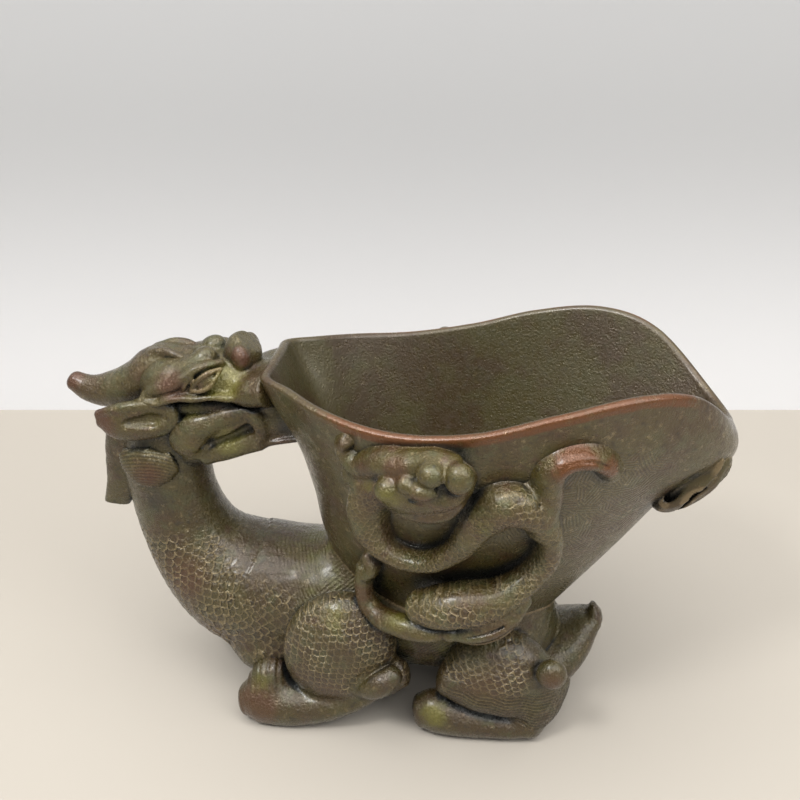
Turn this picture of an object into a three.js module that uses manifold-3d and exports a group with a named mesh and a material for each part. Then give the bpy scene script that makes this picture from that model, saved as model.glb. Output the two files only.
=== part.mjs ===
// Dragon-head cup: a cast bronze rhyton cup carried by a crouching beast whose head bites the rim.
// Millimetres, +Z up. X runs along the cup from the head (-X) to the lip (+X), and -Y is the near side.
import * as THREE from "three";
import { mergeVertices } from "three/addons/utils/BufferGeometryUtils.js";
import Module from "manifold-3d";

const wasm = await Module();
wasm.setup();

// Driving dimensions of the vessel.
const mouthLength = 107;
const mouthWidth = 68.6;
const mouthCentreX = 24.3;
const rimEndHeight = 90;
const vesselFloorHeight = 20;
const rimWall = 2.4;
const rimCrown = 0.4;
const baseWall = 5;
const cavityFloorHeight = 32;
const hoodBulge = 6.5;
const hoodHalfTurn = 72;
const scrollHalfLength = 11.5;
const scrollThickness = 11;
const scrollReach = 19;
const scrollGroove = 1.6;
const lipTaper = 0.1;

// Driving dimensions of the beast.
const chestX = -35.2;
const trunkLength = 76;
const trunkHeight = 25;
const trunkHalfWidth = 17.5;
const trunkHalfDepth = 16.8;
const neckHalfWidth = 9;
const neckHalfDepth = 10.8;
const loopReach = 28;
const headWidth = 20;
const noseRadius = 4.8;
const hornLength = 30;
const hornThickness = 11;
const earLength = 20;
const earHeight = 9.4;
const finDrop = 20;
const shoulderHeight = 36;
const haunchLength = 28;
const pawHeight = 11;
const pawWidth = 11;
const pawLength = 33;
const frontPawX = -37.2;
const hindPawX = 7.3;
const kneeKnobRadius = 3.3;
const tailRise = 24.5;
const tailWidth = 14;

// Driving dimensions of the climbing dragon.
const climberDepth = 4;
const climberThickness = 6.4;

// Pieces that seat on each other stay this far apart.
const clearance = 0.3;

// Rise of the rim above its narrow end, from the narrow end (-1) to the lip (+1).
const rimStations = [-1, -0.72, -0.42, -0.1, 0.2, 0.52, 0.76, 1];
const rimRises = [0, -1.4, -2.8, -0.9, 3.4, 6.2, 3.2, -9];

// Plan of the vessel's wall at levels from its floor (0) to its rim (1): reach to the lip side and to
// the narrow side of the mouth's centre, and half width.
const wallLevels = [0, 0.14, 0.39, 0.56, 0.8, 1];
const lipReach = [12.5, 18.5, 29.5, 36.5, 46, mouthLength / 2];
const spoutReach = [29.5, 35.5, 42, 44, 48.5, mouthLength / 2];
const wallHalfWidths = [12, 16.5, 22.5, 26.5, 31, mouthWidth / 2];

const spoutX = mouthCentreX - mouthLength / 2;
const rumpX = chestX + trunkLength;
const neckX = spoutX - loopReach;
const legSpread = trunkHalfWidth + 2;

// Smooth curve through a table of values at given stations.
function along(stations, values, t) {
  const last = stations.length - 1;
  let i = 0;
  while (i < last - 1 && t > stations[i + 1]) i += 1;
  const span = stations[i + 1] - stations[i];
  const u = (t - stations[i]) / span;
  const slope = (j) => {
    const before = Math.max(j - 1, 0);
    const after = Math.min(j + 1, last);
    return (values[after] - values[before]) / (stations[after] - stations[before]);
  };
  const u2 = u * u;
  const u3 = u2 * u;
  const start = (2 * u3 - 3 * u2 + 1) * values[i] + (u3 - 2 * u2 + u) * span * slope(i);
  const end = (3 * u2 - 2 * u3) * values[i + 1] + (u3 - u2) * span * slope(i + 1);
  return start + end;
}

// Rings of points joined into one closed skin, with a fan over each end.
function loft(rings) {
  const sides = rings[0].length;
  const points = rings.flat();
  const faces = [];
  for (let r = 0; r + 1 < rings.length; r += 1) {
    for (let k = 0; k < sides; k += 1) {
      const a = r * sides + k;
      const b = r * sides + ((k + 1) % sides);
      faces.push(a, b, b + sides, a, b + sides, a + sides);
    }
  }
  for (const first of [0, (rings.length - 1) * sides]) {
    const centre = new THREE.Vector3();
    for (let k = 0; k < sides; k += 1) centre.add(points[first + k]);
    const hub = points.push(centre.divideScalar(sides)) - 1;
    for (let k = 0; k < sides; k += 1) {
      const a = first + k;
      const b = first + ((k + 1) % sides);
      if (first === 0) faces.push(hub, b, a);
      else faces.push(hub, a, b);
    }
  }
  const geometry = new THREE.BufferGeometry().setFromPoints(points);
  geometry.setIndex(faces);
  return geometry;
}

// A closed geometry as a solid that can be cut and joined.
function solid(geometry) {
  const bare = geometry.clone();
  bare.deleteAttribute("normal");
  bare.deleteAttribute("uv");
  const merged = mergeVertices(bare, 1e-4);
  const vertProperties = new Float32Array(merged.attributes.position.array);
  const triVerts = new Uint32Array(merged.index.array);
  return new wasm.Manifold(new wasm.Mesh({ numProp: 3, vertProperties, triVerts }));
}

function join(...solids) {
  return solids.reduce((whole, next) => whole.add(next));
}

// A piece with room cut for its neighbours, less any sliver that a cut leaves loose.
function fitted(piece, ...rooms) {
  const cut = rooms.reduce((left, room) => left.subtract(room), piece);
  return cut.decompose().reduce((best, lump) => (lump.volume() > best.volume() ? lump : best));
}

function geometryOf(whole) {
  const mesh = whole.getMesh();
  const positions = new Float32Array(mesh.numVert * 3);
  for (let i = 0; i < mesh.numVert; i += 1) {
    positions.set(mesh.vertProperties.subarray(i * mesh.numProp, i * mesh.numProp + 3), i * 3);
  }
  const geometry = new THREE.BufferGeometry();
  geometry.setAttribute("position", new THREE.BufferAttribute(positions, 3));
  geometry.setIndex(new THREE.BufferAttribute(mesh.triVerts, 1));
  geometry.computeVertexNormals();
  return geometry;
}

// A tapering body swept through stations of [x, y, z, first, second]. Its section is an ellipse: the first
// half size lies along the reference direction and the second across it. Room for a neighbour is the same
// body grown on all sides.
function sweep(stations, reference, steps, sides, grow = 0) {
  const path = new THREE.CatmullRomCurve3(stations.map((s) => new THREE.Vector3(s[0], s[1], s[2])));
  const size = new THREE.CatmullRomCurve3(stations.map((s) => new THREE.Vector3(s[3], s[4], 0)));
  const rings = [];
  for (let i = 0; i <= steps; i += 1) {
    const t = i / steps;
    const centre = path.getPoint(t);
    const tangent = path.getTangent(t);
    if (i === 0) centre.addScaledVector(tangent, -grow);
    if (i === steps) centre.addScaledVector(tangent, grow);
    const first = reference.clone().addScaledVector(tangent, -reference.dot(tangent)).normalize();
    const second = new THREE.Vector3().crossVectors(tangent, first);
    const half = size.getPoint(t);
    const ring = [];
    for (let k = 0; k < sides; k += 1) {
      const angle = (2 * Math.PI * k) / sides;
      const point = centre.clone();
      point.addScaledVector(first, (half.x + grow) * Math.cos(angle));
      point.addScaledVector(second, (half.y + grow) * Math.sin(angle));
      ring.push(point);
    }
    rings.push(ring);
  }
  return solid(loft(rings));
}

// An egg-shaped lump, leaning back by an angle in degrees.
function lump(x, y, z, halfX, halfY, halfZ, lean = 0, grow = 0) {
  const reach = Math.max(halfX, halfZ);
  const sides = reach > 7 ? 14 : reach > 3.7 ? 10 : 8;
  const ball = new THREE.SphereGeometry(1, sides, Math.round(sides * 0.6));
  ball.rotateX(Math.PI / 2);
  ball.scale(halfX + grow, halfY + grow, halfZ + grow);
  ball.rotateY(THREE.MathUtils.degToRad(lean));
  ball.translate(x, y, z);
  return solid(ball);
}

const acrossY = new THREE.Vector3(0, 1, 0);

// Everything above the ground, so that soles are flat.
function aboveGround() {
  const reach = 2 * (mouthLength + trunkLength);
  const space = new THREE.BoxGeometry(reach, reach, reach);
  space.translate(0, 0, reach / 2);
  return solid(space);
}

// Vessel wall. An angle of 0 faces the lip and 180 degrees the narrow end.
function rimHeight(angle) {
  return rimEndHeight + along(rimStations, rimRises, Math.cos(angle));
}

// How far the hood under the lip stands out from the plain wall.
function hood(level, angle) {
  const lowEdge = 0.62;
  if (level <= lowEdge || level >= 1) return 0;
  const turned = Math.atan2(Math.sin(angle), Math.cos(angle)) / THREE.MathUtils.degToRad(hoodHalfTurn);
  if (Math.abs(turned) >= 1) return 0;
  const share = (level - lowEdge) / (1 - lowEdge);
  return hoodBulge * Math.sin(Math.PI * share ** 1.4) * Math.cos((turned * Math.PI) / 2) ** 2;
}

// A point of the vessel's skin, moved outwards by an offset.
function wallPoint(level, angle, offset) {
  const toLip = along(wallLevels, lipReach, level);
  const toSpout = along(wallLevels, spoutReach, level);
  const middle = mouthCentreX + (toLip - toSpout) / 2;
  const halfLength = (toLip + toSpout) / 2 + offset;
  const narrowing = 1 - lipTaper * Math.max(0, Math.cos(angle)) ** 4;
  const halfWidth = along(wallLevels, wallHalfWidths, level) * narrowing + offset;
  const height = vesselFloorHeight + (rimHeight(angle) - vesselFloorHeight) * level;
  return new THREE.Vector3(middle + halfLength * Math.cos(angle), halfWidth * Math.sin(angle), height);
}

function wallRing(level, offset, lift, hooded) {
  const sides = 36;
  const ring = [];
  for (let k = 0; k < sides; k += 1) {
    const angle = (2 * Math.PI * k) / sides;
    const point = wallPoint(level, angle, offset + (hooded ? hood(level, angle) : 0));
    point.z += lift;
    ring.push(point);
  }
  return ring;
}

// The vessel's outer skin from its rounded floor to its rim.
function outerRings(grow, topLift) {
  const floorInset = 5;
  const floorDrop = 3;
  const rings = [
    wallRing(0, grow - floorInset, -floorDrop - grow, false),
    wallRing(0, grow - floorInset / 3, -floorDrop / 2 - grow, false),
  ];
  const levels = 12;
  for (let i = 0; i < levels; i += 1) rings.push(wallRing(i / levels, grow, 0, true));
  rings.push(wallRing(1, grow, topLift, true));
  return rings;
}

function cupShell() {
  const rings = outerRings(0, 0);
  rings.push(wallRing(1, -rimWall / 2, rimCrown, false));
  const floorLevel = (cavityFloorHeight - vesselFloorHeight) / (rimEndHeight - vesselFloorHeight);
  const cornerLevel = floorLevel + 0.03;
  const levels = 6;
  for (let i = 0; i <= levels; i += 1) {
    const level = 1 - (i / levels) * (1 - cornerLevel);
    const wall = rimWall + (baseWall - rimWall) * (1 - level);
    rings.push(wallRing(level, -wall, 0, false));
  }
  const cornerInset = 3;
  rings.push(wallRing(floorLevel, -baseWall - cornerInset, 0, false));
  return solid(loft(rings));
}

function vesselRoom() {
  return solid(loft(outerRings(clearance, rimCrown + clearance)));
}

// Curled scroll that closes the lip: a thick roll across the end of the mouth, grooved on both end faces.
function lipScroll() {
  const seat = wallPoint(0.765, 0, 0);
  const leaning = new THREE.Vector3(0.64, 0, 0.77);
  const stations = [];
  for (const share of [-1, -0.85, -0.45, 0, 0.45, 0.85, 1]) {
    const taper = 1 - 0.4 * share ** 6;
    const y = share * scrollHalfLength;
    stations.push([seat.x - 0.8, y, seat.z + 0.9, (scrollReach / 2) * taper, (scrollThickness / 2) * taper]);
  }
  let roll = sweep(stations, leaning, 10, 14);
  for (const side of [-1, 1]) {
    const groove = [];
    for (const turn of [-60, -20, 20, 60, 100]) {
      const angle = THREE.MathUtils.degToRad(turn);
      const out = scrollThickness * 0.42 * Math.cos(angle);
      const up = scrollReach * 0.3 * Math.sin(angle);
      groove.push([
        seat.x - 0.4 + leaning.z * out + leaning.x * up,
        side * scrollHalfLength,
        seat.z + 0.5 - leaning.x * out + leaning.z * up,
        scrollGroove,
        scrollGroove / 2,
      ]);
    }
    roll = roll.subtract(sweep(groove, acrossY, 7, 6));
  }
  return roll;
}

// Trunk and neck in one: the spine runs level from the rump to the chest and then climbs a quarter of an
// ellipse to the nape.
function beastBody(grow = 0) {
  const stations = [
    [rumpX + 2, 0, trunkHeight - 10, 7, 6],
    [rumpX - 3, 0, trunkHeight - 8.5, trunkHalfWidth * 0.66, trunkHalfDepth * 0.56],
    [rumpX - 15, 0, trunkHeight - 4, trunkHalfWidth * 0.94, trunkHalfDepth * 0.8],
    [rumpX - 40, 0, trunkHeight - 1, trunkHalfWidth, trunkHalfDepth * 0.94],
    [chestX + 10, 0, trunkHeight + 0.5, trunkHalfWidth * 0.97, trunkHalfDepth],
  ];
  const nape = rimEndHeight - 27;
  const rise = nape - trunkHeight - 0.4;
  for (let turn = 0; turn <= 90; turn += 15) {
    const angle = THREE.MathUtils.degToRad(turn);
    const fullness = Math.max(0, Math.cos(angle)) ** 2.4;
    stations.push([
      chestX + (neckX - chestX) * Math.sin(angle),
      0,
      trunkHeight + 0.4 + rise * (1 - Math.cos(angle)) ** 0.93,
      neckHalfWidth + (trunkHalfWidth - 1.5 - neckHalfWidth) * fullness,
      neckHalfDepth + (trunkHalfDepth - neckHalfDepth) * fullness,
    ]);
  }
  stations.push([neckX + 1.5, 0, nape + 9, neckHalfWidth * 0.9, neckHalfDepth * 0.86]);
  stations.push([neckX + 5, 0, nape + 17, neckHalfWidth * 0.72, neckHalfDepth * 0.66]);
  return sweep(stations, acrossY, 24, 16, grow);
}

// Skull and muzzle with the round nose, nostrils, brows, eyes and cheekbones.
function dragonHead(grow = 0) {
  const half = headWidth / 2;
  const z = rimEndHeight;
  const parts = [
    sweep(
      [
        [spoutX - 31, 0, z - 6, half * 0.4, 3.4],
        [spoutX - 26, 0, z - 4.4, half * 0.82, 6],
        [spoutX - 18, 0, z - 3.6, half, 6.4],
        [spoutX - 10, 0, z - 3, half * 0.96, 6],
        [spoutX - 4, 0, z - 0.8, half * 0.94, 5.6],
        [spoutX + 1.5, 0, z + 0.5, half * 1.06, 5.2],
      ],
      acrossY,
      9,
      14,
      grow,
    ),
    lump(spoutX - 6.6, 0, z + 2.6, noseRadius, noseRadius * 1.1, noseRadius, 0, grow),
  ];
  for (const side of [-1, 1]) {
    parts.push(lump(spoutX - 6.6, side * half * 0.42, z + 0.6, 3, 2.8, 3.8, -15, grow));
    parts.push(lump(spoutX - 13.5, side * half * 0.86, z - 1.8, 3.6, 2.2, 2.3, 0, grow));
    parts.push(lump(spoutX - 16, side * half * 0.66, z + 0.2, 5.4, 3, 2.2, 10, grow));
    parts.push(lump(spoutX - 22, side * half * 0.5, z - 0.4, 5.6, 3.4, 3.2, -8, grow));
  }
  return join(...parts);
}

// Jaw bar, tongue, cheek muscles and the risers at the mouth's corners.
function lowerJaw(grow = 0) {
  const z = rimEndHeight;
  const half = headWidth / 2;
  const parts = [
    sweep(
      [
        [spoutX - 24, 0, z - 23.6, half * 0.66, 3],
        [spoutX - 14, 0, z - 21.8, half * 0.84, 3.2],
        [spoutX - 5, 0, z - 18.6, half * 0.88, 3],
        [spoutX + 3, 0, z - 17.4, half * 0.86, 2.9],
        [spoutX + 9, 0, z - 17, half * 0.8, 2.8],
      ],
      acrossY,
      7,
      10,
      grow,
    ),
    sweep(
      [
        [spoutX - 20, 0, z - 15, half * 0.5, 6],
        [spoutX - 8, 0, z - 12.5, half * 0.56, 5],
        [spoutX + 6, 0, z - 12, half * 0.56, 4],
      ],
      acrossY,
      3,
      8,
      grow,
    ),
  ];
  for (const side of [-1, 1]) {
    const muscle = [
      [spoutX - 5.5, side * 7.2, z - 8.4, 2, 1.8],
      [spoutX - 10, side * 8.2, z - 10.2, 2.6, 3],
      [spoutX - 16, side * 8.8, z - 12.4, 3, 4.4],
      [spoutX - 20.5, side * 8.2, z - 16.4, 3, 4.8],
      [spoutX - 21, side * 7, z - 21.4, 2.6, 4.2],
    ];
    const riser = [
      [spoutX - 4.5, side * 6.8, z - 18.5, 1.8, 1.7],
      [spoutX - 2.6, side * 7.4, z - 13.5, 2, 1.8],
      [spoutX - 1.6, side * 7.4, z - 8.6, 1.8, 1.6],
    ];
    parts.push(sweep(muscle, acrossY, 6, 8, grow));
    parts.push(sweep(riser, acrossY, 3, 8, grow));
  }
  return join(...parts);
}

// Thick central horn, swept back with its tip turned up.
function headHorn(grow = 0) {
  const half = hornThickness / 2;
  const x = spoutX - 20;
  const z = rimEndHeight;
  return sweep(
    [
      [x, 0, z - 0.6, half * 0.8, half * 0.7],
      [x - hornLength * 0.2, 0, z - 2.4, half * 1.15, half * 1.05],
      [x - hornLength * 0.46, 0, z - 6.8, half, half * 1.05],
      [x - hornLength * 0.68, 0, z - 9, half * 0.78, half * 0.82],
      [x - hornLength * 0.86, 0, z - 8.2, half * 0.6, half * 0.64],
      [x - hornLength * 0.97, 0, z - 6.8, half * 0.44, half * 0.46],
      [x - hornLength, 0, z - 6.2, half * 0.22, half * 0.22],
    ],
    acrossY,
    11,
    10,
    grow,
  );
}

// Leaf-shaped ear with a hollow in its outer face.
function ear(grow = 0) {
  const x = spoutX - 20.5;
  const z = rimEndHeight - 12;
  const half = earHeight / 2;
  const leaf = sweep(
    [
      [x, -7.6, z + 1.2, 1.6, half * 0.5],
      [x - earLength * 0.25, -8.8, z, 2.2, half * 0.96],
      [x - earLength * 0.55, -9.4, z - 0.4, 2.2, half],
      [x - earLength * 0.82, -9.6, z - 0.2, 1.6, half * 0.64],
      [x - earLength, -9.4, z, 0.6, half * 0.2],
    ],
    acrossY,
    8,
    10,
    grow,
  );
  const hollow = lump(x - earLength * 0.42, -12, z - 0.4, earLength * 0.27, 2, earHeight * 0.24, 4);
  return grow ? leaf : leaf.subtract(hollow);
}

// Fan of mane behind the jaw.
function cheekMane(grow = 0) {
  const z = rimEndHeight;
  return sweep(
    [
      [spoutX - 20, -7.6, z - 22, 1.6, 2.4],
      [spoutX - 24, -8.6, z - 24.6, 2.4, 4.8],
      [spoutX - 29, -8.8, z - 25, 2.4, 5],
      [spoutX - 34, -7.6, z - 21.8, 1.6, 3],
      [spoutX - 36, -6.8, z - 19.4, 0.7, 1],
    ],
    acrossY,
    7,
    10,
    grow,
  );
}

// Mane lock that hangs behind the neck.
function napeFin(grow = 0) {
  const z = rimEndHeight - 18;
  const x = neckX - 9;
  return sweep(
    [
      [x + 2, 0, z + 3, 2.6, 4],
      [x - 0.5, 0, z - 4, 3, 5.4],
      [x - 3, 0, z - finDrop * 0.55, 2.4, 5],
      [x - 5.6, 0, z - finDrop * 0.88, 1.5, 3.2],
      [x - 7.6, 0, z - finDrop * 1.12, 0.6, 0.8],
    ],
    acrossY,
    8,
    10,
    grow,
  );
}

// Paw from its toes back to the heel, resting flat on the ground.
function paw(toeX, grow, heelRise) {
  const y = -legSpread - 1;
  const half = pawWidth / 2;
  return sweep(
    [
      [toeX - 0.6, y, pawHeight * 0.36, half * 0.5, pawHeight * 0.24],
      [toeX + 2, y, pawHeight * 0.44, half * 0.9, pawHeight * 0.48],
      [toeX + pawLength * 0.26, y, pawHeight * 0.42, half, pawHeight * 0.54],
      [toeX + pawLength * 0.55, y, pawHeight * 0.34, half * 0.94, pawHeight * 0.48],
      [toeX + pawLength * 0.8, y, pawHeight * 0.36 + heelRise * 0.4, half * 0.86, pawHeight * 0.42],
      [toeX + pawLength, y, pawHeight * 0.4 + heelRise, half * 0.7, pawHeight * 0.36],
    ],
    acrossY,
    9,
    10,
    grow,
  );
}

// Shoulder, folded forearm with its curl of fur, and the paw laid forward under the chest.
function frontLeg(grow = 0) {
  const y = -legSpread;
  const x = frontPawX + 24.5;
  const z = trunkHeight + 1;
  const half = shoulderHeight / 2;
  const elbowRise = 5.4;
  const curl = [
    [x + 5.5, y - 5.2, z - 13, 1.2, 1.2],
    [x + 8, y - 6.4, z - 11.6, 2, 2.4],
    [x + 12.5, y - 6, z - 8, 2.2, 2.8],
    [x + 16.4, y - 4, z - 4.4, 1.4, 1.8],
  ];
  const parts = [
    lump(x + 0.8, y, z, half * 0.78, 7.6, half, 18, grow),
    sweep(
      [
        [x - 2, y, z - 4, 6, 10],
        [x + 5, y, z - 9, 5.6, 8],
        [x + 12, y, z - 11, 4.6, 6],
        [x + 16.5, y, z - 10, 3, 4],
      ],
      acrossY,
      4,
      10,
      grow,
    ),
    paw(frontPawX, grow, elbowRise),
    lump(frontPawX + 6, y + 2.5, pawHeight + 2, 4.6, 4.8, 7.4, 0, grow),
    sweep(curl, acrossY, 4, 8, grow),
  ];
  return join(...parts).intersect(aboveGround());
}

// Haunch, heel with its round knob, and the hind paw.
function hindLeg(grow = 0) {
  const y = -legSpread;
  const x = hindPawX + 20;
  const z = trunkHeight - 4;
  const half = haunchLength / 2;
  const parts = [
    lump(x, y, z, half, 7.4, half * 0.8, -12, grow),
    sweep(
      [
        [x + 2, y, z - 1, 6, 9],
        [x + 9, y, z - 4, 5.4, 6.4],
        [x + 11.4, y, z - 10, 5, 4.6],
        [x + 10.4, y, z - 17, 4.6, 4],
      ],
      acrossY,
      5,
      10,
      grow,
    ),
    paw(hindPawX, grow, 0),
    lump(x + half * 0.9, y - 6, z + 2.4, kneeKnobRadius, 2.8, kneeKnobRadius, 0, grow),
  ];
  return join(...parts).intersect(aboveGround());
}

// Pointed tail, turned up behind the rump.
function tailPiece() {
  const half = tailWidth / 2;
  const z = tailRise;
  return sweep(
    [
      [rumpX - 6, 0, z - 14, half, 7.5],
      [rumpX + 3, 0, z - 12, half, 8.5],
      [rumpX + 8.6, 0, z - 8, half * 0.8, 6.4],
      [rumpX + 11.8, 0, z - 3.6, half * 0.46, 2.8],
      [rumpX + 11.4, 0, z, half * 0.18, 0.6],
    ],
    acrossY,
    9,
    12,
  ).intersect(aboveGround());
}

// Depth of the near wall behind a place given by x and z.
function wallBehind(x, z) {
  let nearest = 0;
  let least = Infinity;
  for (let level = 0.1; level <= 1; level += 0.005) {
    const toLip = along(wallLevels, lipReach, level);
    const toSpout = along(wallLevels, spoutReach, level);
    const cosine = (x - mouthCentreX - (toLip - toSpout) / 2) / ((toLip + toSpout) / 2);
    const point = wallPoint(level, -Math.acos(THREE.MathUtils.clamp(cosine, -0.98, 0.98)), 0);
    const miss = Math.abs(point.z - z);
    if (miss < least) {
      least = miss;
      nearest = point.y;
    }
  }
  return nearest;
}

// Climbing dragon in high relief. Each station gives the place along the mouth, the height above the
// vessel's floor, how far the centreline stands off the wall, and the half sizes.
function climber() {
  const outwards = new THREE.Vector3(0, -1, 0);
  const r = climberThickness / 2;
  const at = (dx, up, off) => {
    const x = mouthCentreX + dx;
    const z = vesselFloorHeight + up;
    return [x, wallBehind(x, z) - off * climberDepth, z];
  };
  const strand = (stations, steps, sides) => {
    const list = stations.map(([dx, up, off, depth, width]) => [...at(dx, up, off), depth * r, width * r]);
    return sweep(list, outwards, steps, sides);
  };
  const bead = (dx, up, off, halfX, halfY, halfZ, lean) => lump(...at(dx, up, off), halfX, halfY, halfZ, lean);
  const coil = [
    [-26, 52, 0.3, 1.2, 1.2],
    [-28.4, 43.4, 0.6, 0.9, 0.95],
    [-24, 38.4, 0.8, 0.8, 0.8],
    [-17.4, 36.9, 0.9, 0.8, 0.8],
    [-11, 39, 0.9, 0.9, 0.95],
    [-6.7, 44.4, 0.9, 1, 1.15],
    [-3, 48.8, 0.9, 1.1, 1.3],
    [1.5, 51.6, 0.9, 1.15, 1.35],
    [6.9, 51, 0.9, 1.1, 1.25],
    [11, 46.4, 0.9, 1, 1.05],
    [11.6, 41, 0.9, 0.95, 0.95],
    [8.6, 36, 1, 1.05, 1.05],
    [2.6, 31, 1.2, 1.25, 1.3],
    [-4, 27.6, 1.4, 1.5, 1.65],
    [-10.7, 25, 1.5, 1.4, 1.5],
    [-15.5, 23, 1.4, 0.9, 0.9],
  ];
  const hook = [
    [7, 50, 0.5, 1, 1.2],
    [9.4, 56.4, 0.4, 0.95, 1.1],
    [10.4, 61, 0.3, 0.95, 0.95],
    [13.4, 64, 0.3, 0.95, 0.62],
    [18.6, 64.4, 0.3, 0.85, 0.6],
    [22, 61, 0.2, 0.6, 0.5],
  ];
  const foreleg = [
    [-28, 34, 0.5, 0.6, 0.55],
    [-28.4, 28, 0.9, 0.8, 0.75],
    [-25, 22.6, 1.2, 0.9, 0.9],
    [-19, 19.4, 1.5, 0.9, 0.95],
    [-12.6, 18, 1.4, 0.8, 0.8],
    [-9, 18.6, 1.1, 0.6, 0.6],
  ];
  const foot = [
    [-9, 16.6, 1.4, 0.6, 0.6],
    [-3, 15.6, 1.5, 0.8, 0.7],
    [3, 17, 1.3, 0.7, 0.7],
    [6, 19.4, 0.8, 0.5, 0.5],
  ];
  const mane = [
    [-17, 59.4, 0.8, 0.9, 0.9],
    [-22, 60.6, 0.6, 0.9, 0.95],
    [-27.5, 59.2, 0.4, 0.8, 0.85],
    [-31, 60.4, 0.2, 0.6, 0.65],
    [-32.3, 63.4, 0, 0.35, 0.4],
  ];
  const lock = [
    [-21, 56, 0.5, 0.9, 1.2],
    [-27.6, 54.6, 0.3, 0.9, 1.3],
    [-32, 53.4, 0, 0.4, 0.5],
  ];
  return join(
    strand(coil, 28, 8),
    strand(hook, 7, 8),
    strand(foreleg, 7, 6),
    strand(foot, 4, 6),
    strand(mane, 6, 6),
    strand(lock, 3, 6),
    bead(-14.3, 55.4, 0.9, 8.8, 5, 5.8, -6),
    bead(-19.6, 56.4, 1.7, 2.8, 2.8, 2.6, 0),
    bead(-14.4, 58.6, 1.8, 3.4, 3.2, 3, 0),
    bead(-8.4, 59, 1.6, 3.6, 3.2, 3.2, 0),
    bead(-10.6, 54.4, 1.4, 4.4, 3.2, 3.4, -20),
  );
}

const vessel = vesselRoom();
const bodyRoom = beastBody(clearance);
const headRoom = dragonHead(clearance);
const jawRoom = lowerJaw(clearance);
const hornRoom = headHorn(clearance);
const earRoom = ear(clearance);
const frontRoom = frontLeg(clearance);
const hindRoom = hindLeg(clearance);
const hindRoomFar = hindRoom.mirror([0, 1, 0]);

const group = new THREE.Group();

function place(name, whole, color, roughness, metalness, mirrored = false) {
  const material = new THREE.MeshStandardMaterial({ color, roughness, metalness });
  const mesh = new THREE.Mesh(geometryOf(whole), material);
  mesh.name = name;
  if (mirrored) mesh.scale.y = -1;
  group.add(mesh);
}

function placePair(name, whole, color, roughness, metalness) {
  place(name + "_near", whole, color, roughness, metalness);
  place(name + "_far", whole, color, roughness, metalness, true);
}

const oliveBronze = 0x5c5438;
const darkBronze = 0x4a4230;
const rubbedCopper = 0x7d4a30;

place("cup_shell", cupShell(), oliveBronze, 0.5, 0.85);
place("lip_scroll", fitted(lipScroll(), vessel), darkBronze, 0.5, 0.85);
place("beast_body", fitted(beastBody(), vessel).intersect(aboveGround()), oliveBronze, 0.5, 0.85);
place("dragon_head", fitted(dragonHead(), vessel, bodyRoom), darkBronze, 0.48, 0.85);
place("lower_jaw", fitted(lowerJaw(), vessel, bodyRoom, headRoom), darkBronze, 0.5, 0.85);
place("head_horn", fitted(headHorn(), bodyRoom, headRoom), darkBronze, 0.42, 0.88);
place("nape_fin", fitted(napeFin(), bodyRoom, headRoom, hornRoom), oliveBronze, 0.55, 0.85);
place("tail", fitted(tailPiece(), vessel, bodyRoom, hindRoom, hindRoomFar), darkBronze, 0.45, 0.88);
placePair("ear", fitted(ear(), bodyRoom, headRoom, jawRoom, hornRoom), darkBronze, 0.48, 0.85);
placePair("cheek_mane", fitted(cheekMane(), bodyRoom, jawRoom, headRoom, earRoom), rubbedCopper, 0.45, 0.9);
placePair("front_leg", fitted(frontLeg(), vessel, bodyRoom), rubbedCopper, 0.45, 0.9);
placePair("hind_leg", fitted(hindLeg(), vessel, bodyRoom), oliveBronze, 0.5, 0.85);
placePair("chilong", fitted(climber(), vessel, bodyRoom, frontRoom, hindRoom), oliveBronze, 0.5, 0.85);

export default group;
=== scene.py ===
# %% [markdown]
# # A cast bronze dragon-head cup
#
# The object is a small wine cup, 16 cm long, cast in bronze. A crouching scaled beast carries the cup on
# its back and bites the narrow end of its mouth, and a little dragon climbs the wall in high relief.
# This lesson builds its surfaces with numpy inside Blender, piece by piece, and gives them a patina.
# Sizes are written in millimetres, as a founder would measure the wax, and become metres at the end.

import bpy
import numpy as np
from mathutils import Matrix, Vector


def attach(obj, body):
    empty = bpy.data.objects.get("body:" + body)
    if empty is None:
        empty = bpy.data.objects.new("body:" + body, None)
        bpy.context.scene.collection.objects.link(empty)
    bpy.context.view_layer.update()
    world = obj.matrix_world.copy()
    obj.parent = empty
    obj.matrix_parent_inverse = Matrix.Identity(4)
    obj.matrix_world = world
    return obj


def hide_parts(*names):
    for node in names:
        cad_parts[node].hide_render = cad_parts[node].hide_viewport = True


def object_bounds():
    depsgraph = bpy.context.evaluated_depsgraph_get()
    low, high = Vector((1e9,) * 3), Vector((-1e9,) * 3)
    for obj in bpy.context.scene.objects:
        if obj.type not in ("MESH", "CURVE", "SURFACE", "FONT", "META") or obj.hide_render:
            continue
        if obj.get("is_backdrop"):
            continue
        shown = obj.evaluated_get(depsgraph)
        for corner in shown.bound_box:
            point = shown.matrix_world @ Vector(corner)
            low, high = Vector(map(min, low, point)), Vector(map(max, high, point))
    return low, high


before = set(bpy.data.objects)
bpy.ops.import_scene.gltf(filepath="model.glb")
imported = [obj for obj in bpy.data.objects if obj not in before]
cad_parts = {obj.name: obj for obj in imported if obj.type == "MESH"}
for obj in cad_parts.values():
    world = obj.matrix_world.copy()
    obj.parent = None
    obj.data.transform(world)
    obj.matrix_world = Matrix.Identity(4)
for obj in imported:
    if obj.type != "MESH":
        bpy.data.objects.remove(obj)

MM = 0.001
cad_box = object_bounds()
print("solids in the frame:", len(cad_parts))

# %% [markdown]
# ## Sizes of the vessel
#
# The mouth is an oval that dips in the middle and ends in a drooping lip. The wall tapers to a narrow
# foot between the beast's shoulders. Each level of the wall is an oval whose two ends reach out by
# different amounts, so the numbers below are short tables from the foot (0) to the rim (1).

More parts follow.
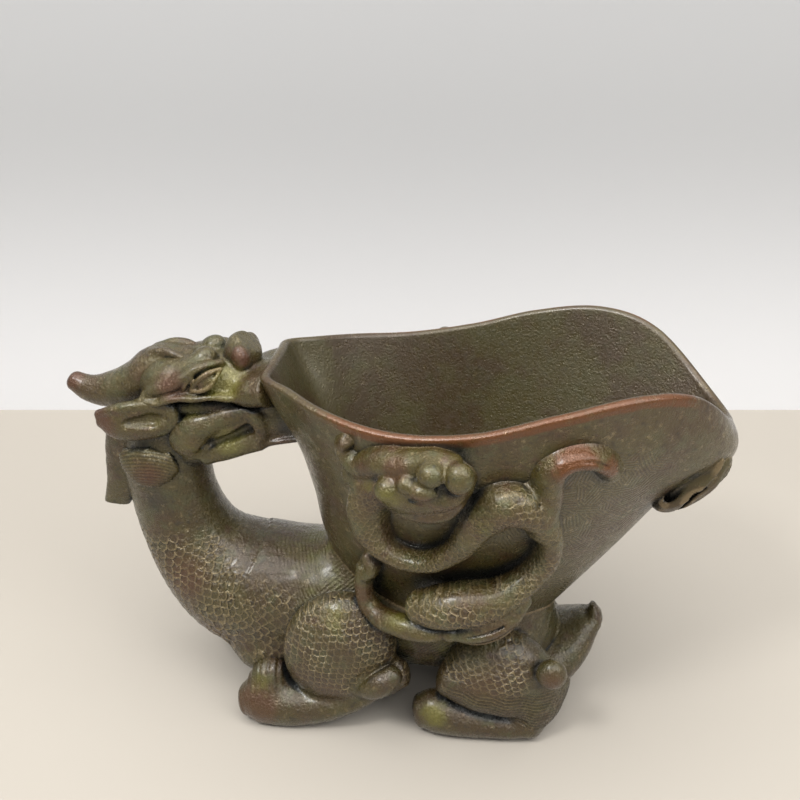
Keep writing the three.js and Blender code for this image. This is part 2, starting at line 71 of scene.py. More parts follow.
# %% Vessel sizes
mouth_length = 107.0
mouth_width = 68.6
mouth_centre_x = 24.3
rim_end_height = 90.0
vessel_floor = 20.0
cavity_floor = 32.0
rim_wall = 2.4
base_wall = 5.0
hood_bulge = 6.5
hood_half_turn = np.radians(72)
lip_taper = 0.1
rim_stations = [-1, -0.72, -0.42, -0.1, 0.2, 0.52, 0.76, 1]
rim_rises = [1.4, -1.4, -2.8, -0.9, 3.4, 6.2, 3.2, -9]
wall_levels = [0, 0.14, 0.39, 0.56, 0.8, 1]
lip_reach = [12.5, 18.5, 29.5, 36.5, 46, mouth_length / 2]
spout_reach = [29.5, 35.5, 42, 44, 48.5, mouth_length / 2]
wall_half_widths = [12, 16.5, 22.5, 26.5, 31, mouth_width / 2]


def cubic(u, span, values, slopes, i):
    """A cubic from station i to the next one, at a share u of the span, with the slopes at both."""
    start = (2 * u**3 - 3 * u**2 + 1) * values[i] + (u**3 - 2 * u**2 + u) * span * slopes[i]
    end = (3 * u**2 - 2 * u**3) * values[i + 1] + (u**3 - u**2) * span * slopes[i + 1]
    return start + end


def along(stations, values, t):
    """Smooth value at t: cubics between neighbouring stations that keep their average slopes."""
    stations = np.asarray(stations, float)
    values = np.asarray(values, float)
    t = np.clip(t, stations[0], stations[-1])
    index = np.arange(len(stations))
    before, after = np.maximum(index - 1, 0), np.minimum(index + 1, len(stations) - 1)
    slopes = (values[after] - values[before]) / (stations[after] - stations[before])
    i = np.clip(np.searchsorted(stations, t, side="right") - 1, 0, len(stations) - 2)
    span = stations[i + 1] - stations[i]
    return cubic((t - stations[i]) / span, span, values, slopes, i)


def rim_height(angle):
    """Height of the rim at an angle round the mouth: 0 faces the lip and pi the narrow end."""
    return rim_end_height + along(rim_stations, rim_rises, np.cos(angle))


def smoothstep(low, high, x):
    """Rises from 0 at low to 1 at high with level ends."""
    u = np.clip((x - low) / (high - low), 0, 1)
    return u * u * (3 - 2 * u)


def hood(level, angle):
    """Bulge of the hood under the lip: a bump in height times a bump round the mouth."""
    low_edge = 0.62
    turned = np.arctan2(np.sin(angle), np.cos(angle)) / hood_half_turn
    share = np.clip((level - low_edge) / (1 - low_edge), 0, 1)
    fade = np.cos(np.clip(turned, -1, 1) * np.pi / 2) ** 2
    return hood_bulge * np.sin(np.pi * share**1.4) * fade


def collar(level, angle):
    """The narrow end of the mouth is squared: two corners stand out and the middle between them is flat."""
    from_end = np.degrees(np.arccos(np.clip(-np.cos(angle), -1, 1)))
    corner = 2.3 * np.exp(-(((from_end - 19.5) / 7.0) ** 2)) - 0.7 * np.exp(-((from_end / 9.0) ** 2))
    return corner * smoothstep(0.7, 0.97, level)


def oval(level):
    """The oval at a level: how far its middle lies towards the lip, its half length and half width."""
    to_lip = along(wall_levels, lip_reach, level)
    to_spout = along(wall_levels, spout_reach, level)
    return (to_lip - to_spout) / 2, (to_lip + to_spout) / 2, along(wall_levels, wall_half_widths, level)


def narrowing(angle):
    """The oval is drawn in a little at the lip."""
    return 1 - lip_taper * np.maximum(0, np.cos(angle)) ** 4


def wall_point(level, angle, offset):
    """A point of the vessel's skin at a level and an angle, moved outwards by an offset."""
    offset = offset + collar(level, angle)
    shift, half_length, half_width = oval(level)
    half_length = half_length + offset
    half_width = half_width * narrowing(angle) + offset
    height = vessel_floor + (rim_height(angle) - vessel_floor) * level
    x = mouth_centre_x + shift + half_length * np.cos(angle)
    return np.stack([x, half_width * np.sin(angle), height], -1)


def wall_depth(x, z):
    """Depth y of the near wall behind a place given by x and z: the level and the angle settle in turn."""
    x, z = np.broadcast_arrays(np.asarray(x, float), np.asarray(z, float))
    level = (z - vessel_floor) / (rim_end_height - vessel_floor)
    for _ in range(8):
        level = np.clip(level, 0.02, 1)
        shift, half_length, _ = oval(level)
        cosine = (x - mouth_centre_x - shift) / half_length
        angle = -np.arccos(np.clip(cosine, -0.98, 0.98))
        level = (z - vessel_floor) / (rim_height(angle) - vessel_floor)
    return wall_point(np.clip(level, 0.02, 1), angle, 0)[..., 1]


print("near wall at the middle of the mouth:", np.round(wall_depth(24.0, [40, 60, 80]), 1))

# %% [markdown]
# ## Modelling in distances
#
# The beast was modelled in wax, pressed and smoothed by a thumb, so its limbs flow into each other. A
# plain swept tube can't do that: two tubes would cross in a hard crease. So each limb is written as a
# distance: a function that is negative inside, zero on the skin and positive outside. Two distances
# join with a soft fillet, and the skin is drawn afterwards where the joined distance is zero. Points
# come as the rows of an array P, and their outward directions as the rows of N.

# %% Distances
def smooth_join(a, b, fillet):
    """The lower of two distances, with a fillet of about that many millimetres where they meet."""
    share = np.clip(0.5 + 0.5 * (b - a) / fillet, 0, 1)
    return b + (a - b) * share - fillet * share * (1 - share)


def smooth_cut(a, b, fillet):
    """What is left of a after b is taken away."""
    return -smooth_join(-a, b, fillet)


def smooth_rows(rows, count):
    """Rows of numbers joined by cubics along the path that their first three columns follow."""
    rows = np.asarray(rows, float)
    gaps = np.linalg.norm(np.diff(rows[:, :3], axis=0), axis=1)
    at = np.concatenate([[0], np.cumsum(gaps)])
    slopes = np.gradient(rows, at, axis=0)
    t = np.linspace(0, at[-1], count)
    i = np.clip(np.searchsorted(at, t, side="right") - 1, 0, len(at) - 2)
    span = (at[i + 1] - at[i])[:, None]
    return cubic(((t - at[i]) / span[:, 0])[:, None], span, rows, slopes, i)


def ellipsoid_distance(local, sizes):
    """Near the skin this is the distance to an ellipsoid: the scaled radius less one, times its slope."""
    scaled = local / sizes
    radius = np.linalg.norm(scaled, axis=-1)
    slope = np.linalg.norm(scaled / sizes, axis=-1)
    return radius * (radius - 1) / np.maximum(slope, 1e-9)


# Distances are cut off at this many millimetres, so that a limb is worked out only near itself.
FAR = 7.0


class Limb:
    """A tapering body carried along a path of stations [x, y, z, first, second].

    At each place its section is an ellipse. The first half size lies along the reference direction and
    the second across it, and each end is rounded over `cap` times the smaller half size."""

    def __init__(self, stations, reference=(0, 1, 0), cap=0.7, count=None):
        rows = smooth_rows(stations, count or 4 * len(stations))
        self.centre = rows[:, :3]
        self.sizes = np.maximum(rows[:, 3:5], 0.12)
        tangent = np.gradient(self.centre, axis=0)
        self.tangent = tangent / np.linalg.norm(tangent, axis=1)[:, None]
        reference = np.asarray(reference, float)
        first = reference - self.tangent * (self.tangent @ reference)[:, None]
        self.first = first / np.linalg.norm(first, axis=1)[:, None]
        self.second = np.cross(self.tangent, self.first)
        self.cap = cap
        self.length = np.linalg.norm(np.diff(self.centre, axis=0), axis=1).sum()
        reach = self.sizes.max() + FAR
        self.low = self.centre.min(axis=0) - reach
        self.high = self.centre.max(axis=0) + reach

    def locate(self, P):
        """For each point the nearest place on the path, the offset from it and the half sizes there.

        The place is a station's number plus a share of the way to the next one."""
        steps = np.diff(self.centre, axis=0)
        starts = self.centre[:-1]
        squares = (steps**2).sum(axis=1)
        middle = self.centre.mean(axis=0)
        short = (a.astype(np.float32) for a in (P - middle, starts - middle, steps, squares))
        place, start, step, square = short
        travel = place @ step.T - (start * step).sum(axis=1)
        t = np.clip(travel / square, 0, 1)
        miss = t * (t * square - 2 * travel) - 2 * place @ start.T + (start**2).sum(axis=1)
        i = miss.argmin(axis=1)
        u = t[np.arange(len(P)), i].astype(float)[:, None]
        centre = starts[i] + steps[i] * u
        kept = (self.first, self.second, self.tangent, self.sizes)
        *axes, sizes = (a[i] * (1 - u) + a[i + 1] * u for a in kept)
        local = np.stack([((P - centre) * axis).sum(1) for axis in axes], 1)
        return i + u[:, 0], local, sizes

    def __call__(self, P):
        out = np.full(len(P), FAR)
        near = ((P > self.low) & (P < self.high)).all(axis=1)
        if near.any():
            _, local, sizes = self.locate(P[near])
            cap = sizes.min(axis=1, keepdims=True) * self.cap
            out[near] = np.minimum(ellipsoid_distance(local, np.concatenate([sizes, cap], 1)), FAR)
        return out

    def follow(self, P):
        """What locate gives, with the place in millimetres along the path."""
        place, local, sizes = self.locate(P)
        return place / (len(self.centre) - 1) * self.length, local, sizes


class Egg:
    """An egg-shaped lump at x, y, z with three half sizes, leaning by degrees about Y."""

    def __init__(self, x, y, z, half_x, half_y, half_z, lean=0):
        self.centre = np.array([x, y, z], float)
        self.sizes = np.array([half_x, half_y, half_z], float)
        lean = np.radians(lean)
        self.axes = np.array([[np.cos(lean), 0, np.sin(lean)], [0, 1, 0], [-np.sin(lean), 0, np.cos(lean)]])

    def __call__(self, P):
        offset = P - self.centre
        out = np.full(len(P), FAR)
        near = (np.abs(offset) < self.sizes.max() + FAR).all(axis=1)
        if near.any():
            out[near] = np.minimum(ellipsoid_distance(offset[near] @ self.axes, self.sizes), FAR)
        return out


def joined(P, parts):
    """All parts joined in turn. Each entry is (part, fillet)."""
    total = np.full(len(P), FAR)
    for part, fillet in parts:
        total = smooth_join(total, part(P), fillet)
    return total


def fold(P):
    """Both sides of the beast are alike, so a far point is asked as its near twin."""
    return np.stack([P[:, 0], -np.abs(P[:, 1]), P[:, 2]], 1)


# %% [markdown]
# ## Drawing the skin
#
# Blender needs faces. Space is cut into small cubes, and every cube that the skin passes through gets
# one point. Cubes that share a crossed edge are joined by a four-sided face, which is the method called
# surface nets. It makes even quads that follow the form, and the points are then slid onto the skin.

# %% Skin of a field
def in_batches(field, P, size=60000):
    return np.concatenate([field(P[k:k + size]) for k in range(0, len(P), size)])


def lattice(low, counts, step):
    """Points at even steps from a low corner, with these counts along the three axes."""
    grids = np.meshgrid(*[np.arange(n) for n in counts], indexing="ij")
    return low + np.stack(grids, -1).reshape(-1, 3) * step


class Sampled:
    """A slow field kept on a lattice and read back by blending the eight nearest values."""

    def __init__(self, field, low, high, step):
        self.low, self.step = np.asarray(low, float), step
        self.size = np.ceil((np.asarray(high, float) - self.low) / step).astype(int) + 1
        self.value = in_batches(field, lattice(self.low, self.size, step))

    def __call__(self, P):
        at = np.clip((P - self.low) / self.step, 0, self.size - 1.001)
        cell = at.astype(int)
        share = at - cell
        total = np.zeros(len(P))
        for corner in np.ndindex(2, 2, 2):
            near = cell + corner
            index = (near[:, 0] * self.size[1] + near[:, 1]) * self.size[2] + near[:, 2]
            weight = np.where(corner, share, 1 - share).prod(axis=1)
            total += weight * self.value[index]
        return total


cube_corners = np.array(list(np.ndindex(2, 2, 2)))


def window(shift, shape):
    """The block of a lattice that has this shape and starts at a shift of 0 or 1 along each axis."""
    return tuple(slice(s, s + n) for s, n in zip(shift, shape))


def skin(field, low, high, step, wide=4):
    """Points and quads of the surface where the field is zero, inside a box, on cubes of one step.

    Blocks of wide cubes are tried first, and only those near the surface are filled in."""
    low = np.asarray(low, float)
    blocks = np.ceil((np.asarray(high, float) - low) / (step * wide)).astype(int)
    rough = in_batches(field, lattice(low, blocks + 1, step * wide)).reshape(blocks + 1)
    least = np.full(blocks, np.inf)
    for shift in cube_corners:
        least = np.minimum(least, np.abs(rough[window(shift, blocks)]))
    busy = least < step * wide * 1.5
    value = rough[:-1, :-1, :-1].astype(np.float32)
    for axis in range(3):
        value = np.repeat(value, wide, axis=axis)
        busy = np.repeat(busy, wide, axis=axis)
    value = np.pad(value, [(0, 1)] * 3, mode="edge")
    need = np.zeros(value.shape, bool)
    for shift in cube_corners:
        need[window(shift, busy.shape)] |= busy
    where = np.argwhere(need)
    value[need] = in_batches(field, low + where * step)
    value = np.where(value == 0, np.float32(1e-6), value)
    return net_of(field, value, low, step)


def net_of(field, value, low, step):
    """Surface nets over a block of values: one point per crossed cube and one quad per crossed edge."""
    inside = value < 0
    shape = np.array(value.shape) - 1
    count = np.zeros(shape, np.uint8)
    for shift in cube_corners:
        count += inside[window(shift, shape)]
    cubes = np.argwhere((count > 0) & (count < 8))
    number = np.full(shape, -1, np.int64)
    number[tuple(cubes.T)] = np.arange(len(cubes))
    corner = np.stack([value[tuple((cubes + o).T)] for o in cube_corners], 1)
    total = np.zeros((len(cubes), 3))
    crossed = np.zeros(len(cubes))
    for a in range(8):
        for b in range(a + 1, 8):
            edge = cube_corners[b] - cube_corners[a]
            if np.abs(edge).sum() != 1:
                continue
            cut = (corner[:, a] < 0) != (corner[:, b] < 0)
            share = np.where(cut, corner[:, a] / np.where(cut, corner[:, a] - corner[:, b], 1), 0)
            total += np.where(cut[:, None], cube_corners[a] + edge * share[:, None], 0)
            crossed += cut
    points = low + (cubes + total / crossed[:, None]) * step
    quads, slope = [], []
    unit = np.eye(3, dtype=int)
    for axis in range(3):
        spots = np.argwhere(np.diff(inside, axis=axis))
        others = [a for a in range(3) if a != axis]
        keep = (spots[:, others] > 0).all(1) & (spots[:, others] < shape[others]).all(1)
        spots = spots[keep]
        one, two = unit[others]
        quad = np.stack([number[tuple((spots - back).T)] for back in (one + two, two, 0 * one, one)], 1)
        flip = inside[tuple(spots.T)] != (axis != 1)
        quad[flip] = quad[flip][:, ::-1]
        quads.append(quad)
        upper = cube_corners[:, axis] == 1
        slope.append(corner[:, upper].mean(1) - corner[:, ~upper].mean(1))
    slope = np.stack(slope, 1) / step
    for _ in range(2):
        here = in_batches(field, points)
        points -= np.clip(slope * (here / np.maximum((slope**2).sum(1), 0.1))[:, None], -step, step)
    return points, np.concatenate(quads)


def normals_of(points, quads):
    """Outward direction at each point: the sum of its faces' directions, made one long."""
    across = points[quads[:, 2]] - points[quads[:, 0]]
    up = points[quads[:, 3]] - points[quads[:, 1]]
    face = np.cross(across, up)
    total = np.zeros_like(points)
    for axis in range(3):
        for corner in range(4):
            total[:, axis] += np.bincount(quads[:, corner], face[:, axis], len(points))
    return total / np.maximum(np.linalg.norm(total, axis=1), 1e-12)[:, None]


# %% [markdown]
# ## The vessel as a distance
#
# Limbs that touch the cup need to know where its wall is, to flow into it and not to poke through it.
# The same oval levels give that distance: the scaled radius less one, times its slope.

# %% Vessel distance
def vessel_formula(P):
    """Rough distance to the vessel's outer skin, taken as solid, positive outside."""
    level = np.clip((P[:, 2] - vessel_floor) / (rim_end_height - vessel_floor), 0, 1)
    for _ in range(3):
        shift, half_x, half_y = oval(level)
        out_x = P[:, 0] - mouth_centre_x - shift
        angle = np.arctan2(P[:, 1] / half_y, out_x / half_x)
        rim = rim_height(angle)
        level = np.clip((P[:, 2] - vessel_floor) / (rim - vessel_floor), 0, 1)
    half_y = half_y * narrowing(angle)
    bulge = hood(level, angle)
    flat = ellipsoid_distance(np.stack([out_x, P[:, 1]], 1), np.stack([half_x + bulge, half_y + bulge], 1))
    return np.maximum(np.maximum(flat * 0.84, P[:, 2] - rim), vessel_floor - 3 - P[:, 2])


# Both sides are alike, so only the near half is kept.
half_low, half_high = (-84, -48, -3), (86, 1, 102)
vessel = Sampled(vessel_formula, half_low, half_high, 1.0)


def on_wall(P, piece, depth=0.9):
    """A piece on the wall, trimmed a little under the wall's skin so that it can't show inside."""
    return np.maximum(piece, -(vessel(P) + depth))


def unevenness(P, size, seed):
    """Slow hand-made waves: the mean of a few sines along random directions, about -1 to 1."""
    maker = np.random.default_rng(seed)
    total = np.zeros(len(P))
    for _ in range(7):
        wave = maker.normal(size=3)
        wave *= 2 * np.pi / (size * maker.uniform(0.7, 1.5) * np.linalg.norm(wave))
        total += np.sin(P @ wave + maker.uniform(0, 2 * np.pi))
    return total / 4


# %% [markdown]
# ## Trunk and neck
#
# One body runs level from the rump to the chest and then climbs a quarter of an ellipse to the nape. It
# flows up into the cup, so the trunk is joined to the vessel with a wide fillet. The vessel taken for
# that join lies a little under the real skin, so that nothing covers the wall away from the fillet.

# %% Body field
chest_x = -35.2
rump_x = 40.8
trunk_height = 25.0
trunk_half_width = 17.5
trunk_half_depth = 16.8
neck_x = -57.2
neck_half_width = 9.0
neck_half_depth = 10.8
nape_height = rim_end_height - 27

turn = np.radians(np.arange(0, 91, 15))
fullness = np.maximum(0, np.cos(turn)) ** 2.4
neck_stations = np.stack([
    chest_x + (neck_x - chest_x) * np.sin(turn),
    0 * turn,
    trunk_height + 0.4 + (nape_height - trunk_height - 0.4) * (1 - np.cos(turn)) ** 0.93,
    neck_half_width + (trunk_half_width - 1.5 - neck_half_width) * fullness,
    neck_half_depth + (trunk_half_depth - neck_half_depth) * fullness,
], 1)
spine = Limb(np.concatenate([
    [[rump_x, 0, trunk_height - 10, 7, 6],
     [rump_x - 3, 0, trunk_height - 8.5, trunk_half_width * 0.66, trunk_half_depth * 0.56],
     [rump_x - 15, 0, trunk_height - 4, trunk_half_width * 0.94, trunk_half_depth * 0.8],
     [rump_x - 40, 0, trunk_height - 1, trunk_half_width, trunk_half_depth * 0.94],
     [chest_x + 10, 0, trunk_height + 0.5, trunk_half_width * 0.97, trunk_half_depth]],
    neck_stations,
    [[neck_x + 1.5, 0, nape_height + 9, neck_half_width * 0.9, neck_half_depth * 0.86],
     [neck_x + 5, 0, nape_height + 17, neck_half_width * 0.72, neck_half_depth * 0.66]],
]), count=64)

breast = Egg(-32.0, -9.0, 14.0, 9.0, 9.0, 6.5)
withers = Egg(-37.0, 0, 29.0, 12.5, 14.5, 13.5)


def body_field(P):
    P = fold(P)
    trunk = smooth_join(smooth_join(spine(P), breast(P), 5), withers(P), 6)
    flowing = smooth_join(trunk, vessel(P) + 1.3, 7)
    return np.maximum(on_wall(P, flowing), -P[:, 2])


# %% [markdown]
# ## Head
#
# The skull and muzzle are one mass. The round nose, the brows, the lidded eyes and the ledge of the
# upper lip are pressed onto it in wax, each as a small limb or egg with its own fillet.

# %% Head field
bite_depth = 1.4
clearance = 0.3
skull = Limb([
    [-60.5, 0, 83.6, 4, 3.4], [-55.2, 0, 85.4, 8.2, 6], [-47.2, 0, 86.4, 9.4, 6],
    [-39.2, 0, 86.8, 8.8, 5.6], [-34.2, 0, 86.6, 7.8, 4.8], [-30, 0, 85.6, 7.2, 3.6], [-27, 0, 85, 7, 3.2],
])
head_parts = [
    (skull, 1),
    (Egg(-35.4, 0, 92.4, 4.4, 5, 5.2), 1),
    (Egg(-34.6, -4, 92.6, 2.3, 2.6, 3.5, lean=-6), 0.5),
    (Egg(-50.6, -4.6, 88, 7, 4.4, 3.6, lean=-18), 3.5),
    (Egg(-45.6, -5.8, 90.3, 3.8, 3.2, 2.4, lean=-32), 2),
    (Egg(-43.6, -3.8, 92.4, 3.2, 2.8, 2.6, lean=-24), 1),
    (Limb([[-34.8, 0, 84.8, 7, 3.8], [-31.5, 0, 85.9, 7.6, 4], [-27.6, 0, 86.8, 8, 4.1]], cap=0.3), 1),
    (Limb([[-34.8, -4.8, 84.8, 4.2, 3.4], [-31.5, -6.4, 85.9, 5.4, 3.8], [-27.6, -7.4, 86.8, 6, 4.1]],
          cap=0.3), 1.6),
    (Limb([[-57, -8.4, 84.5, 1.2, 1], [-53.4, -9.4, 86.2, 1.5, 1.3], [-49.6, -9.8, 87.7, 1.7, 1.4],
           [-46.5, -9.7, 89.8, 1.6, 1.4], [-43.8, -9, 91.5, 1.4, 1.2], [-41, -7.4, 92.2, 1.1, 0.9],
           [-38.8, -5.6, 92, 0.8, 0.8]]), 1.1),
    (Limb([[-60, -9.2, 82.2, 1.4, 0.9], [-56.6, -9.4, 83.3, 1.8, 1.1], [-53.3, -9.6, 83.3, 2, 1],
           [-51, -9.8, 84.2, 1.9, 1.1], [-48, -9.6, 84.8, 2, 1], [-44.4, -9.6, 84.8, 1.9, 1.1],
           [-40, -9, 85.3, 2.2, 1], [-36.5, -8.8, 84.9, 2.1, 1.1], [-32.9, -8.4, 85.4, 2, 1],
           [-29, -8, 85.2, 1.8, 1]]), 1.2),
    (Egg(-41.9, -8.7, 88.7, 3, 2.3, 1.9, lean=-38), 0.35),
    (Limb([[-45.6, -9.3, 86.5, 0.6, 0.6], [-44.3, -10.3, 88.2, 0.75, 0.7], [-42.6, -10.7, 90, 0.75, 0.65],
           [-40.6, -10.2, 91.2, 0.7, 0.6], [-38.4, -8.4, 91.6, 0.5, 0.45]]), 0.4),
    (Limb([[-45.2, -9.8, 86.5, 0.6, 0.5], [-43, -10.8, 86.8, 0.7, 0.55], [-40.8, -10.7, 87.8, 0.7, 0.55],
           [-39.2, -9.6, 89.9, 0.6, 0.5], [-38.2, -8.4, 91.4, 0.4, 0.4]]), 0.4),
    (Limb([[-47.2, -9.6, 86.4, 0.5, 0.45], [-46.2, -10.4, 88.2, 0.6, 0.5],
           [-44.6, -10.4, 90, 0.6, 0.5]]), 0.5),
]


def head_field(P):
    P = fold(P)
    cup_face = P[:, 0] + 28.3 - 1.2 * (91 - P[:, 2])
    return on_wall(P, np.maximum(joined(P, head_parts), cup_face), bite_depth)


# %% Jaw field
jaw_parts = [
    (Limb([[-53.5, 0, 66, 6.4, 2.8], [-43.5, 0, 68.2, 8, 3], [-36, 0, 70.6, 8.6, 2.4],
           [-29.5, 0, 72.6, 8.6, 2.1], [-22, 0, 73.8, 8, 2], [-16, 0, 74.4, 7.6, 1.8]]), 1),
    (Limb([[-51, 0, 76, 6.6, 6.6], [-41, 0, 75.8, 9.5, 6.6], [-33, 0, 77, 9.2, 7.4],
           [-24, 0, 78.4, 7.6, 7.6]]), 1),
    (Limb([[-33, -8, 81, 1.3, 1.5], [-37.4, -8.6, 79.7, 1.7, 2.2], [-41.6, -9, 78.2, 2.1, 2.7],
           [-45.8, -9, 75.8, 3, 4.2], [-47.6, -8.4, 73, 3.4, 5], [-47.4, -7.4, 69.6, 2.6, 3.4]]), 1),
    (Limb([[-30.8, -7.2, 72.8, 1.4, 1.5], [-30.4, -8, 77, 1.5, 1.6], [-31.6, -8.4, 80.6, 1.4, 1.6]]), 1.4),
    (Limb([[-44.6, -8, 68.6, 1.4, 2.3], [-40.6, -8.4, 70, 1.5, 2.2], [-36, -8.4, 71.6, 1.4, 2.1],
           [-31, -8.2, 73, 1.2, 1.8]]), 1.4),
]


tongue = Limb([[-50, 0, 80.6, 8.2, 3.8], [-38, 0, 81.4, 8.8, 3.8], [-28, 0, 82, 7.8, 3.6]])
mouth_corner = Limb([
    [-44.4, -10.2, 71.8, 0.8, 0.5], [-40.6, -9.9, 73.2, 1.7, 0.9], [-36.2, -9.5, 75, 2.3, 1.3],
    [-32.8, -9.2, 76.8, 2.5, 1.5],
])


def jaw_field(P):
    P = fold(P)
    jaw = smooth_join(joined(P, jaw_parts), tongue(P), 0.8)
    jaw = smooth_cut(jaw, mouth_corner(P), 0.7)
    return on_wall(P, np.maximum(jaw, clearance - head_field(P)), bite_depth)


# %% Horn, ear, mane and fin fields
horn = Limb([
    [-48.6, 0, 90.2, 4.2, 3.4], [-52.4, 0, 89.4, 5, 4.6], [-56, 0, 88.4, 5.6, 5.2],
    [-61, 0, 84.8, 5.4, 5.2], [-66.2, 0, 82.4, 4.8, 4.8], [-71, 0, 81.5, 3.9, 4.1],
    [-75.2, 0, 82.2, 3, 3.2], [-77.8, 0, 83.6, 2.3, 2.5],
], cap=0.8)
brow_curl = Limb([
    [-56.6, -2.2, 92.4, 0.8, 0.9], [-53.6, -3.2, 93.2, 1, 1.1], [-50.4, -4, 92.9, 1.1, 1.1],
    [-47.8, -4.4, 91.6, 0.9, 0.9],
])


def horn_field(P):
    P = fold(P)
    return smooth_join(horn(P), brow_curl(P), 1.2)


ear_leaf = Limb([
    [-50.5, -8.4, 79.4, 2, 3.6], [-55, -9.2, 78.6, 2.4, 4.6], [-60, -9.8, 78.2, 2.5, 4.9],
    [-64.6, -10, 77.8, 2.2, 4.2], [-68, -9.8, 78.4, 1.4, 2.2],
], cap=0.7)
ear_rim = Limb([
    [-52.5, -9.6, 82.6, 0.8, 0.8], [-58, -10.8, 82.8, 1.1, 1], [-62, -11.2, 82.2, 1.2, 1],
    [-65.6, -11, 81.2, 1.1, 0.9], [-68.2, -10.2, 80, 0.8, 0.7],
])
ear_hollow = Limb([
    [-52.2, -11, 79.8, 0.9, 0.8], [-54.2, -11.6, 79.4, 1.9, 1.7], [-57.4, -12.2, 79, 1.9, 1.6],
    [-61, -12.5, 78.7, 1.2, 0.8],
])


def ear_field(P):
    leaf = smooth_join(ear_leaf(P), ear_rim(P), 1.4)
    leaf = smooth_cut(leaf, ear_hollow(P), 1.2)
    return np.maximum(leaf, -68.9 - P[:, 0] - 0.25 * (P[:, 2] - 78))


mane_field = Limb([
    [-52.6, -7.6, 66.4, 1.5, 3], [-55.4, -8.2, 65.6, 2, 4.6], [-59, -8.8, 65.4, 2.2, 5.4],
    [-62.8, -8.2, 66.8, 1.7, 3.8], [-64.9, -7.6, 68.4, 0.9, 1.8],
], cap=0.6)


nape_lock = Limb([
    [-63, 0, 77, 3, 5], [-66.4, 0, 70, 3, 5.6], [-68.2, 0, 62, 2.6, 5.3],
    [-69.8, 0, 56, 2.2, 4.3], [-72, 0, 50.8, 1.7, 3.4], [-73.6, 0, 47, 1.2, 2.8],
], cap=0.3)


def fin_field(P):
    return np.maximum(nape_lock(P), 49.6 - P[:, 2] - 0.1 * (P[:, 0] + 72))


# %% [markdown]
# ## Legs and tail
#
# The legs are folded under the beast as on a resting animal: a scaled thigh, a smooth paw laid forward,
# and a curl of fur at the elbow. Only the near legs are modelled, and the far ones are their mirror.

# %% Leg fields
leg_y = -(trunk_half_width + 2)


def beside(stations, cap=0.7):
    """A limb of a leg, whose stations count y from the leg's middle plane."""
    rows = np.array(stations, float)
    rows[:, 1] += leg_y
    return Limb(rows, cap=cap)


front_parts = [
    (Egg(-11.6, leg_y + 0.4, 22.4, 13.9, 7.6, 16.6, lean=18), 1),
    (beside([[-14.7, 0, 22, 6, 10], [-7.7, 0, 17, 5.6, 8], [-0.7, 0, 15, 4.6, 6],
           [3.8, 0, 16, 3, 4]]), 2.5),
]
front_paw = beside([
    [-36, -1, 4.8, 3.8, 4.4], [-33.8, -1, 5.2, 5, 5.5], [-28.6, -1, 4.8, 5.6, 5.9],
    [-19, -1, 5.2, 5.4, 5.2], [-12.5, -1.2, 6.8, 4.9, 4], [-6.5, -1.2, 9.8, 4.3, 3.3],
    [-1.2, -0.8, 13.8, 3.8, 2.9], [1.4, -0.6, 17.2, 3.2, 2.6],
], cap=0.5)
wrist = Egg(-30.2, leg_y + 1.5, 10.6, 5, 5, 6, lean=12)
elbow_curl = beside([
    [-6.4, -5.2, 14.4, 1.5, 1.6], [-3.6, -6, 16, 2.6, 2.8], [-0.4, -6, 18, 3, 3.2],
    [2, -5, 19.4, 2.6, 2.7],
], cap=0.9)
curl_bed = beside([
    [-8.6, -7.2, 15.8, 0.9, 0.8], [-6.4, -7.6, 18.8, 1.2, 0.9], [-2.6, -7, 21.8, 1.2, 0.9],
    [1.8, -5.6, 23.4, 0.9, 0.8],
])
heel_groove = beside([
    [-26, -6.4, 17.6, 0.9, 0.9], [-21.6, -7.4, 11.4, 1, 1], [-14.6, -7.2, 7.6, 0.9, 0.9],
    [-8.6, -6.4, 7.4, 0.5, 0.5],
])


def front_leg_field(P):
    thigh = smooth_cut(joined(P, front_parts), heel_groove(P), 0.9)
    thigh = smooth_cut(thigh, curl_bed(P), 0.8)
    foot = smooth_join(front_paw(P), wrist(P), 3)
    whole = smooth_join(smooth_join(thigh, foot, 1), elbow_curl(P), 0.35)
    return np.maximum(on_wall(P, whole), -P[:, 2])


hind_parts = [
    (Egg(27.4, leg_y + 0.4, 18.8, 13.2, 7.6, 10.8, lean=-4), 1),
    (beside([[29.3, 0, 20, 6, 8.6], [35.8, 0, 16.8, 5.4, 6.2], [37.4, 0, 11, 5, 4.8],
           [35, 0, 4.4, 4.6, 4.2]]), 2),
    (beside([[15, -1.6, 16, 3.6, 3.6], [23, -2.6, 14, 4.4, 4.4],
           [30, -2.6, 12.4, 4.4, 4.4], [35, -1.6, 10.4, 3.6, 3.8]]), 3),
    (Limb([[42.4, -12, 11, 4.6, 4.2], [40, -14.5, 8.8, 5.6, 5], [37, -17, 6, 5.4, 4.8],
           [35.6, -18.5, 3.4, 4.8, 3.4]]), 5),
]
hind_paw = beside([
    [8.8, -1, 5, 4, 4.6], [11.4, -1, 5.4, 5, 5.5], [16, -1, 4.8, 5.4, 5.4],
    [25.4, -1, 4, 5.2, 4.3], [32, -1, 3.6, 4.8, 3.8], [36.4, -1, 4, 4.2, 3.6],
], cap=0.5)
heel_knob = Egg(39.6, leg_y - 6, 24, 3.6, 2.9, 3.9)
knob_groove = beside([
    [35.6, -6.2, 22.4, 0.6, 0.5], [36.8, -6.4, 19.6, 0.8, 0.6], [39.2, -6.4, 18.6, 0.8, 0.6],
    [41.8, -5.6, 19.4, 0.6, 0.5],
])
hind_groove = beside([
    [15, -7, 11.2, 1, 0.8], [22, -7.6, 9.8, 2, 1.2], [29, -7.2, 8.4, 2.2, 1.3],
    [34.6, -6.2, 7, 1.4, 0.9],
])


